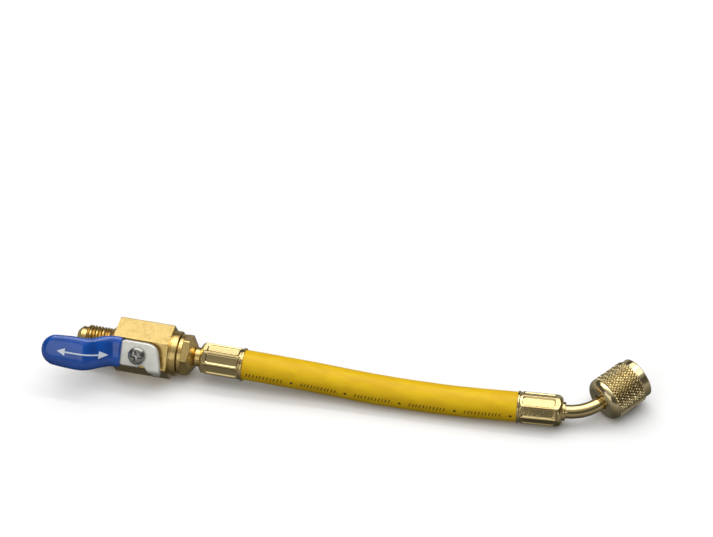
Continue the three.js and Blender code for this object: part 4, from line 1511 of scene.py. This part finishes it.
@dataclass
class EndFitting:
    """The fitting that screws into the valve and holds the hose on a barb."""

    spigot_diameter: float = 11.8
    spigot_start: float = 6.6
    flange_start: float = 14.4
    flange_diameter: float = 15.8
    flange_length: float = 1.5
    across_flats: float = 14.29
    wrench_length: float = 2.8
    wrench_turn: float = 4.0
    cone_length: float = 2.1
    cone_end: float = 8.6
    neck_diameter: float = 7.6
    neck_end: float = 24.3
    barb_tip: float = 37.3
    barb_diameter: float = 5.8
    barb_step: float = 0.35
    barb_pitch: float = 3.0
    bore: float = 3.4

    def build(self) -> "EndFitting":
        """Builds the fitting."""
        wrench = self.flange_start + self.flange_length
        cone = wrench + self.wrench_length
        neck = cone + self.cone_length
        corner = self.across_flats / math.sqrt(3)
        barb = barb_outline(self.neck_end, self.barb_tip, self.barb_diameter, self.barb_step, self.barb_pitch)
        outline = rounded_outline(
            [
                (self.spigot_start, 2.6, 0.1),
                (self.spigot_start, self.spigot_diameter / 2, 0.3),
                (self.flange_start, self.spigot_diameter / 2, 0.1),
                (self.flange_start, self.flange_diameter / 2, 0.25),
                (wrench, self.flange_diameter / 2, 0.25),
                (wrench, corner - 0.25, 0.1),
                (wrench + 0.35, corner + 0.2, 0.2),
                (cone - 0.4, corner + 0.2, 0.2),
                (cone, corner - 0.75, 0.35),
                (neck, self.cone_end / 2, 0.25),
                (neck, self.neck_diameter / 2, 0.2),
                (self.neck_end, self.neck_diameter / 2, 0.2),
                (self.neck_end, self.barb_diameter / 2 - self.barb_step, 0.1),
                *barb,
                (self.barb_tip, self.barb_diameter / 2 - self.barb_step, 0.15),
                (self.barb_tip, self.bore / 2, 0.1),
                (self.spigot_start + 2.5, self.bore / 2, 0.2),
            ],
            0.25,
        )
        reliefs = [Flats(6, self.across_flats, wrench, neck - 0.3, self.wrench_turn, 220.0, 0.03)]
        self.piece = Surface.turned(outline, 144, reliefs).piece("hose_end_fitting", VALVE_FRAME)
        return self

    def dress(self, finishes: Finishes) -> None:
        """Dresses the fitting."""
        dress(self.piece, finishes.turned_brass, Body.FIXED, ["end_fitting"])


def barb_outline(
    root: float, tip: float, diameter: float, step: float, pitch: float
) -> list[tuple[float, ...]]:
    """The teeth of a barb, from its root to its tip.

    Args:
        root: Where the barb starts.
        tip: Where it ends.
        diameter: Across the teeth.
        step: How deep each tooth is.
        pitch: From tooth to tooth.

    Returns:
        Corners of an outline.
    """
    count = max(1, math.floor((abs(tip - root) - 1) / pitch))
    corners: list[tuple[float, ...]] = []
    for i in range(count, 0, -1):
        place = tip - i * pitch
        corners.append((place, diameter / 2 - step, 0.05))
        corners.append((place + 0.1, diameter / 2, 0.06))
    return corners


@dataclass
class Ferrule:
    """A crimped sleeve. Its mouth is at the origin of its frame, and its end at +X."""

    name: str
    node: str
    place: Matrix
    turn: float
    neck_diameter: float
    ringed: bool
    length: float = 17.5
    across_flats: float = 11.9
    mouth_diameter: float = 13.0
    mouth_length: float = 1.0
    wall: float = 0.75
    end_wall: float = 1.5
    shoulder_length: float = 1.8
    shoulder_diameter: float = 10.2
    ring_diameter: float = 8.4
    ring_length: float = 1.2
    hose_diameter: float = HOSE_DIAMETER
    faces: int = 8
    mark_length: float = 12.6
    mark_width: float = 3.7
    mark_depth: float = 0.34

    def build(self) -> "Ferrule":
        """Builds the sleeve."""
        inside = self.across_flats / 2 - self.wall
        corner = self.across_flats / 2 / math.cos(math.pi / self.faces) + 0.2
        shoulder = self.length - self.shoulder_length
        mouth = self.mouth_diameter / 2
        hole = self.neck_diameter / 2 + CLEARANCE
        end = self.length + (self.ring_length if self.ringed else 0.0)
        ring = [
            (self.length, self.ring_diameter / 2, 0.25),
            (end, self.ring_diameter / 2, 0.45),
        ]
        outline = rounded_outline(
            [
                (0.0, self.hose_diameter / 2 + 0.1, 0.08),
                (0.0, mouth - 0.1, 0.12),
                (0.25, mouth, 0.15),
                (self.mouth_length - 0.25, mouth, 0.2),
                (self.mouth_length + 0.15, mouth - 0.55, 0.3),
                (self.mouth_length + 0.9, corner, 0.4),
                (shoulder, corner, 1.2),
                (self.length - 0.35, self.shoulder_diameter / 2 + 0.35, 0.5),
                (self.length, self.shoulder_diameter / 2 - 0.3, 0.3),
                *(ring if self.ringed else []),
                (end, hole, 0.1),
                (self.length - self.end_wall, hole, 0.1),
                (self.length - self.end_wall, inside, 0.3),
                (self.mouth_length, inside, 0.5),
            ],
            0.2,
        )
        reliefs = [
            Flats(self.faces, self.across_flats, 0.9, self.length - 0.3, self.turn, 90.0, 0.05, 1.1),
            CrimpRidges(self.faces, self.turn, 1.2, self.length - 1.2, self.across_flats / 2),
            CrimpMarks(
                self.faces,
                self.turn,
                (self.mouth_length + shoulder) / 2,
                self.mark_length,
                self.mark_width,
                self.mark_depth,
                0.9,
                self.across_flats / 2,
            ),
        ]
        self.piece = Surface.turned(outline, 288, reliefs).piece(self.name, self.place, 50.0)
        return self

    def dress(self, finishes: Finishes) -> None:
        """Dresses the sleeve."""
        dress(self.piece, finishes.bright_brass, Body.FIXED, [self.node])


# The elbow and its nut


@dataclass
class Elbow:
    """The bent tube, its swivel nut and what is inside the nut."""

    origin: tuple[float, float, float] = (148.2, 4.7, 6.9)
    heading: float = math.radians(5.6)
    roll: float = math.radians(14.5)
    bend: float = math.radians(45)
    radius: float = 15.0
    bend_start: float = 20.1
    run: float = 1.8
    soft_radius: float = 18.0  # the tube's own bend starts sooner and turns more gently
    tube_diameter: float = 5.4
    tube_bore: float = 3.8
    barb_tip: float = 3.0
    barb_root: float = 15.0
    collar_start: float = 4.5
    collar_length: float = 1.8
    collar_diameter: float = 9.2
    nut_length: float = 18.8
    nut_diameter: float = NUT_DIAMETER
    nut_bevel: float = NUT_BEVEL
    nut_back: float = 11.6
    knurl_length: float = KNURL_LENGTH
    knurl_count: int = 40
    knurl_depth: float = 0.6
    knurl_slant: float = 38.0
    band_diameter: float = 16.3
    back_wall: float = 4.2
    gasket_length: float = 2.4
    gasket_bore: float = 4.8

    def frame(self) -> Matrix:
        """The frame of the ferrule that the tube comes out of."""
        place = Matrix.Translation(Vector(self.origin) * MM)
        return place @ Matrix.Rotation(self.heading, 4, "Z") @ Matrix.Rotation(self.roll, 4, "X")

    def nut_frame(self) -> Matrix:
        """The frame of the nut, with its back at the origin and its mouth at +X."""
        sin_b, cos_b = math.sin(self.bend), math.cos(self.bend)
        place = (
            self.bend_start + self.radius * sin_b + self.run * cos_b,
            self.radius * (1 - cos_b) + self.run * sin_b,
            0,
        )
        return self.frame() @ Matrix.Translation(Vector(place) * MM) @ Matrix.Rotation(self.bend, 4, "Z")

    def build(self) -> "Elbow":
        """Builds the tube, the nut, the gasket and the core depressor."""
        self.tube = self.build_tube()
        self.nut = self.build_nut()
        self.gasket = self.build_gasket()
        self.depressor = self.build_depressor()
        return self

    def build_tube(self) -> bpy.types.Object:
        """Builds the tube, with its barb in the ferrule and its collar in the nut."""
        sin_b, cos_b = math.sin(self.bend), math.cos(self.bend)
        wider = self.soft_radius - self.radius
        run = self.run - wider * (1 - cos_b) / sin_b
        start = self.bend_start - wider * sin_b + (self.run - run) * cos_b
        tail = run + self.collar_start + self.collar_length
        line = [(self.barb_tip, 0.0, 0.0), (start - 0.1, 0.0, 0.0)]
        for turn in np.linspace(0, self.bend, 49):
            across = self.soft_radius * (1 - math.cos(turn))
            line.append((start + self.soft_radius * math.sin(turn), across, 0.0))
        last, way = np.array(line[-1]), np.array([math.cos(self.bend), math.sin(self.bend), 0.0])
        line.extend([last + way * 0.3, last + way * tail])
        spine = Spine(line, self.barb_tip)
        end = float(spine.along[-1])
        outer, bore, collar = self.tube_diameter / 2, self.tube_bore / 2, self.collar_diameter / 2
        outline = rounded_outline(
            [
                (self.barb_tip, bore, 0.1),
                (self.barb_tip, outer - 0.15, 0.15),
                *[
                    corner
                    for place in np.arange(self.barb_tip + 3.0, self.barb_root, 3.0)
                    for corner in ((place - 0.1, outer + 0.15, 0.05), (place, outer - 0.15, 0.05))
                ],
                (self.barb_root + 0.3, outer - 0.15, 0.1),
                (self.barb_root + 0.5, outer, 0.2),
                (end - self.collar_length, outer, 0.2),
                (end - self.collar_length, collar, 0.3),
                (end, collar, 0.2),
                (end, bore, 0.15),
            ],
            0.35,
        )
        return Surface.turned(outline, 64, spine=spine).piece("bent_tube", self.frame())

    def build_nut(self) -> bpy.types.Object:
        """Builds the knurled nut with its thread."""
        radius, band = self.nut_diameter / 2, self.band_diameter / 2
        band_start = self.nut_bevel + self.knurl_length
        minor = THREAD_MAJOR / 2 - THREAD_DEPTH + 0.22
        thread_start = self.collar_start + self.collar_length + CLEARANCE + self.gasket_length
        mouth = THREAD_MAJOR / 2 + 0.4
        hole = self.tube_diameter / 2 + 0.4
        back, drop = -0.4, radius - self.nut_back / 2
        dome = [
            (back + (self.nut_bevel - back) * (1 - math.cos(turn)), radius - drop * (1 - math.sin(turn)))
            for turn in np.linspace(0.12, math.pi / 2, 12)
        ]
        outline = rounded_outline(
            [
                (back, hole + 0.9, 0.4),
                *dome,
                (band_start, radius, 0.15),
                (band_start + 0.35, band, 0.2),
                (self.nut_length - 0.45, band, 0.35),
                (self.nut_length, band - 0.5, 0.25),
                (self.nut_length, mouth, 0.2),
                (self.nut_length - 0.9, minor, 0.1),
                (self.back_wall, minor, 0.2),
                (self.back_wall, hole, 0.15),
                (back, hole, 0.25),
            ],
            0.19,
        )
        reliefs = [
            Knurl(
                self.nut_bevel + 0.1,
                band_start - 0.05,
                self.knurl_count,
                self.knurl_depth,
                self.knurl_slant,
                self.nut_diameter,
            ),
            Thread(thread_start, self.nut_length - 0.8, minor, THREAD_DEPTH - 0.12, inside=True),
        ]
        return Surface.turned(outline, 320, reliefs).piece("knurled_nut", self.nut_frame(), 28.0)

    def build_gasket(self) -> bpy.types.Object:
        """Builds the rubber gasket in the nut."""
        start = self.collar_start + self.collar_length + CLEARANCE
        end, outer = start + self.gasket_length, THREAD_MAJOR / 2 - THREAD_DEPTH - 0.1
        outline = rounded_outline(
            [
                (start, self.gasket_bore / 2, 0.2),
                (start, outer, 0.3),
                (end - 0.6, outer, 0.3),
                (end, outer - 0.7, 0.3),
                (end, self.gasket_bore / 2, 0.3),
            ],
            0.3,
        )
        return Surface.turned(outline, 96).piece("nut_gasket", self.nut_frame())

    def build_depressor(self) -> bpy.types.Object:
        """Builds the pin that opens a valve core, on its disc."""
        end = self.collar_start + self.collar_length
        radius, pin = self.tube_bore / 2 - CLEARANCE, 0.7
        outline = rounded_outline(
            [
                (end - 2.0, 0.0),
                (end - 2.0, radius, 0.2),
                (end, radius, 0.25),
                (end, pin, 0.15),
                (end + CLEARANCE + self.gasket_length + 1.6, pin, 0.25),
                (end + CLEARANCE + self.gasket_length + 1.6, 0.0),
            ],
            0.3,
            closed=False,
        )
        return Surface.turned(outline, 48, closed=False).piece("depressor_pin", self.nut_frame())

    def dress(self, finishes: Finishes) -> None:
        """Dresses the four pieces."""
        dress(self.tube, finishes.bright_brass, Body.FIXED, ["elbow_tube"])
        dress(self.nut, finishes.nut_brass, Body.NUT, ["coupling_nut"])
        dress(self.gasket, finishes.gasket_rubber, Body.FIXED, ["gasket"])
        dress(self.depressor, finishes.turned_brass, Body.FIXED, ["core_depressor"])


# The lever


@dataclass
class Lever:
    """The stamped lever with its dipped grip and its screw. Distances out are from the stem's centre."""

    inner: float = LEVER_INNER
    thickness: float = LEVER_THICKNESS
    head_top: float = 5.3
    head_bottom: float = 4.9
    head_left: float = 6.2
    head_right: float = 9.5
    arm_width: float = 9.4
    arm_tip: float = 36.0
    joggle_start: float = 9.0
    joggle_end: float = 21.0
    joggle_out: float = 7.0
    joggle_down: float = 1.5
    tab_bend: float = math.radians(50)
    tab_length: float = 3.3
    tab_left: float = 3.6
    tab_tip_left: float = 6.64
    tab_radius: float = 0.25
    grip_start: float = 6.5
    grip_belly: float = 0.45
    grip_clearance: float = 0.3
    grip_wall: float = 1.1
    grip_shortfall: float = 0.6  # the grip's tip is this much thinner than its wall
    grip_lip: float = 0.75  # how far the rim at its mouth is rounded in
    screw_diameter: float = 6.9
    screw_height: float = SCREW_HEIGHT
    edge: float = 0.62

    def joggle(self, along: np.ndarray) -> np.ndarray:
        """0 where the arm leaves the head's plane, 1 where its bend ends."""
        share = np.clip((along - self.joggle_start) / (self.joggle_end - self.joggle_start), 0, 1)
        return (1 - np.cos(math.pi * share)) / 2

    def build(self) -> "Lever":
        """Builds the plate, the grip and the screw."""
        self.plate = self.build_plate()
        self.grip = self.build_grip()
        self.screw = self.build_screw()
        return self

    def flat_pattern(self) -> list[tuple[float, float]]:
        """The plate's outline before it is bent, anticlockwise, with the tab laid out flat."""
        half, top, bottom = self.arm_width / 2, self.head_top, self.head_bottom
        tab = [
            (self.tab_left, -bottom),
            (self.tab_left + 0.5, -bottom - 0.55),
            (self.tab_tip_left - 0.3, -bottom - 2.3),
            (self.tab_tip_left, -bottom - self.tab_length + 0.25),
            (self.tab_tip_left + 0.3, -bottom - self.tab_length),
        ]
        tab_corner = arc_points((self.head_right - 0.9, -bottom - self.tab_length + 0.9), 0.9, -90, 0, 6)
        right = [(self.head_right, -bottom + 0.8), (self.head_right - 0.22, -bottom + 2.2)]
        start, control, end = (self.head_right - 1.0, 0.7), (self.head_right - 1.5, top), (2.6, top)
        curve = [
            tuple(
                (1 - t) ** 2 * start[k] + 2 * t * (1 - t) * control[k] + t**2 * end[k] for k in range(2)
            )
            for t in np.linspace(0, 1, 12)
        ]
        tip = arc_points((-(self.arm_tip - half), 0.0), half, 90, 270, 20)
        return [
            (-self.head_left - 0.6, -half),
            (-self.head_left + 0.8, -bottom),
            (0.7, -bottom),
            (0.95, -bottom + 0.18),
            (1.2, -bottom + 0.75),
            (1.55, -bottom + 0.95),
            (2.35, -bottom + 0.95),
            (2.85, -bottom + 0.7),
            *tab,
            *tab_corner,
            *right,
            *curve,
            (-self.head_left + 0.8, top),
            (-self.head_left - 0.6, half),
            *tip,
        ]

    def build_plate(self) -> bpy.types.Object:
        """Builds the plate from its flat pattern: bevelled and bent."""
        shape = bmesh.new()
        points = [shape.verts.new((u, v, 0.0)) for u, v in self.flat_pattern()]
        face = shape.faces.new(points)
        lifted = bmesh.ops.extrude_face_region(shape, geom=[face])
        top = [item for item in lifted["geom"] if isinstance(item, bmesh.types.BMVert)]
        bmesh.ops.translate(shape, vec=(0, 0, self.thickness), verts=top)
        bmesh.ops.recalc_face_normals(shape, faces=shape.faces)
        for height, width, steps in ((self.thickness, self.edge, 5), (0.0, 0.3, 3)):
            edges = [e for e in shape.edges if all(abs(v.co.z - height) < 1e-6 for v in e.verts)]
            bmesh.ops.bevel(
                shape,
                geom=edges,
                offset=width,
                segments=steps,
                profile=0.5,
                affect="EDGES",
                clamp_overlap=False,
                offset_type="OFFSET",
            )
        cuts = [((-place, 0, 0), (1, 0, 0)) for place in np.linspace(self.joggle_start, self.joggle_end, 15)]
        bend_length = self.tab_bend * (self.tab_radius + self.thickness / 2)
        cuts += [((0, -self.head_bottom - place, 0), (0, 1, 0)) for place in np.linspace(0, bend_length, 7)]
        for place, normal in cuts:
            everything = [*shape.verts, *shape.edges, *shape.faces]
            bmesh.ops.bisect_plane(shape, geom=everything, dist=1e-6, plane_co=place, plane_no=normal)
        for vertex in shape.verts:
            vertex.co = Vector(self.bent(*vertex.co)) * MM
        mesh = bpy.data.meshes.new("lever_stamping")
        shape.to_mesh(mesh)
        shape.free()
        tidy_mesh(mesh, 40.0)
        return add_object("lever_stamping", mesh, LEVER_FRAME)

    def bent(self, u: float, v: float, w: float) -> tuple[float, float, float]:
        """Where a point of the flat pattern goes when the plate is bent.

        Args:
            u: Its place along the valve.
            v: Its place up the flat.
            w: Its height in the sheet.

        Returns:
            The bent point.
        """
        below = -self.head_bottom - v
        along = -u
        if below > 0 and u > 0:
            bend_length = self.tab_bend * (self.tab_radius + self.thickness / 2)
            turn = self.tab_bend * min(below / bend_length, 1.0)
            straight = max(below - bend_length, 0.0)
            radius = self.tab_radius + w
            v = -self.head_bottom - radius * math.sin(turn) - straight * math.cos(turn)
            w = radius * math.cos(turn) - self.tab_radius - straight * math.sin(turn)
        if along > self.joggle_start:
            step = 0.01
            rise = float(self.joggle(along + step) - self.joggle(along - step)) * self.joggle_out / (2 * step)
            normal = Vector((-rise, 1.0)).normalized()
            offset = w - self.thickness / 2
            v -= self.joggle_down * float(self.joggle(along))
            u = -(along + offset * normal[0])
            w = self.thickness / 2 + self.joggle_out * float(self.joggle(along)) + offset * normal[1]
        return u, v, w + self.inner

    def build_grip(self) -> bpy.types.Object:
        """Builds the grip: a thick skin with a pocket for the plate's arm."""
        middle = self.inner + self.thickness / 2
        reach = self.arm_tip + self.grip_clearance + self.grip_wall - self.grip_shortfall
        places = np.linspace(reach, self.grip_start, 160)
        rise = self.joggle(places)
        line = np.stack([-places, -self.joggle_down * rise, middle + self.joggle_out * rise], axis=1)
        spine = Spine(line)
        far = float(spine.along[-1])
        pocket_half = self.arm_width / 2 + self.grip_clearance
        pocket_thick = self.thickness / 2 + self.grip_clearance
        outer_half, outer_thick = pocket_half + self.grip_wall, pocket_thick + self.grip_wall
        stations: list[tuple[float, float, float, float]] = []
        ease = 1 - np.cos(np.linspace(0, math.pi / 2, 24))
        for share in ease:
            stations.append(self.end_section(share, outer_half, outer_thick, 0.0, 2.6))
        for place in np.linspace(outer_half, far - 0.9, 60)[1:]:
            bulge = self.grip_belly * math.sin(math.pi * min(1.0, (place - outer_half) / 15.0))
            stations.append((place, outer_half + bulge, outer_thick + 0.5 * bulge, 2.6))
        for turn in np.linspace(0, math.pi / 2, 7)[1:]:
            shrink = self.grip_lip * (1 - math.cos(turn))
            place = far - 0.9 + 0.9 * math.sin(turn)
            stations.append((place, outer_half - shrink, outer_thick - shrink, 2.6 + 0.4 * turn))
        stations.append((far, pocket_half + 0.05, pocket_thick + 0.02, 5.0))
        for place in np.linspace(far - 0.2, self.grip_wall + pocket_half, 50):
            stations.append((place, pocket_half, pocket_thick, 6.0))
        for share in ease[::-1][1:]:
            stations.append(self.end_section(share, pocket_half, pocket_thick, self.grip_wall, 6.0))
        count = 96
        turn = np.linspace(0, 2 * math.pi, count, endpoint=False)
        along, sideways, upwards = [], [], []
        for place, half, thick, power in stations:
            cos_t, sin_t = np.cos(turn), np.sin(turn)
            sideways.append(half * np.sign(cos_t) * np.abs(cos_t) ** (2 / power))
            upwards.append(thick * np.sign(sin_t) * np.abs(sin_t) ** (2 / power))
            along.append(np.full(count, place))
        grid = place_round(spine, np.array(along), np.array(sideways), np.array(upwards))
        return Surface(grid, closed=False).piece("grip_dipped", LEVER_FRAME, 50.0)

    def end_section(
        self, share: float, half: float, thick: float, inset: float, power: float
    ) -> tuple[float, float, float, float]:
        """A section near the grip's rounded tip.

        Args:
            share: 0 at the tip, 1 where the full width is reached.
            half: Half the full width.
            thick: Half the full thickness.
            inset: How far the tip lies from the spine's start.
            power: How square the section is.

        Returns:
            Its place, half width, half thickness and squareness.
        """
        place = share * half
        narrowed = math.sqrt(max(0.0, 1 - (1 - share) ** 2))
        thinned = (1 - (1 - share) ** 4) ** 0.5 if share > 0 else 0.0
        return inset + place, half * narrowed, thick * thinned, power

    def build_screw(self) -> bpy.types.Object:
        """Builds the screw with its domed head and its cross recess."""
        seat = self.inner + self.thickness + CLEARANCE
        radius, height = self.screw_diameter / 2, self.screw_height
        dome = [
            (
                seat + height * (0.42 + 0.58 * math.cos(turn)),
                radius * (0.86 * math.sin(turn) + 0.1 * math.sin(turn) ** 3),
            )
            for turn in np.linspace(math.pi / 2, 0, 40)[1:]
        ]
        outline = rounded_outline(
            [
                (seat - 5.0, 0.0),
                (seat - 5.0, 1.0, 0.2),
                (seat, 1.0, 0.1),
                (seat, radius - 0.1, 0.1),
                (seat + 0.12, radius, 0.1),
                (seat + 0.38 * height, radius, 0.2),
                *dome[1:],
            ],
            0.07,
            closed=False,
        )
        reliefs = [CrossRecess(4.5, 1.05, 1.4, seat + 0.45 * height)]
        screw = Surface.turned(outline, 96, reliefs, closed=False)
        return screw.piece("lever_cross_screw", STEM_FRAME, 50.0)

    def dress(self, finishes: Finishes) -> None:
        """Dresses the lever's pieces, and the stem, whose own shape stays."""
        dress(self.plate, finishes.plated_steel, Body.LEVER, ["lever_plate"])
        dress(self.grip, finishes.dipped_vinyl, Body.LEVER, ["lever_grip"])
        dress(self.screw, finishes.screw_steel, Body.LEVER, ["lever_screw"])
        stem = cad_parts["stem"]
        stem.data.materials.clear()
        stem.data.materials.append(finishes.stem_steel)


def arc_points(
    centre: tuple[float, float], radius: float, start: float, end: float, count: int
) -> list[tuple[float, float]]:
    """Points on an arc.

    Args:
        centre: The arc's centre.
        radius: Its radius.
        start: The angle of its first point, in degrees.
        end: The angle of its last.
        count: How many steps it has.

    Returns:
        The points.
    """
    turns = np.radians(np.linspace(start, end, count + 1))
    return [(centre[0] + radius * math.cos(t), centre[1] + radius * math.sin(t)) for t in turns]


def main() -> None:
    """Builds the studio, the hose and each sub-assembly, and dresses them."""
    logging.basicConfig(level=logging.INFO, format="%(name)s: %(message)s")
    Studio().build()
    finishes = Finishes()
    hose = Hose().build()
    hose.dress(finishes)
    elbow = Elbow().build()
    elbow.dress(finishes)
    Valve().build().dress(finishes)
    EndFitting().build().dress(finishes)
    Ferrule(
        "ferrule_at_valve",
        "ferrule_valve_end",
        VALVE_FERRULE_FRAME,
        2.0,
        7.6,
        False,
    ).build().dress(finishes)
    Ferrule(
        "ferrule_at_elbow",
        "ferrule_elbow_end",
        elbow.frame(),
        4.0,
        5.4,
        True,
        across_flats=11.4,
        mouth_diameter=12.6,
        ring_diameter=7.4,
    ).build().dress(finishes)
    Lever().build().dress(finishes)


if __name__ == "__main__":
    main()
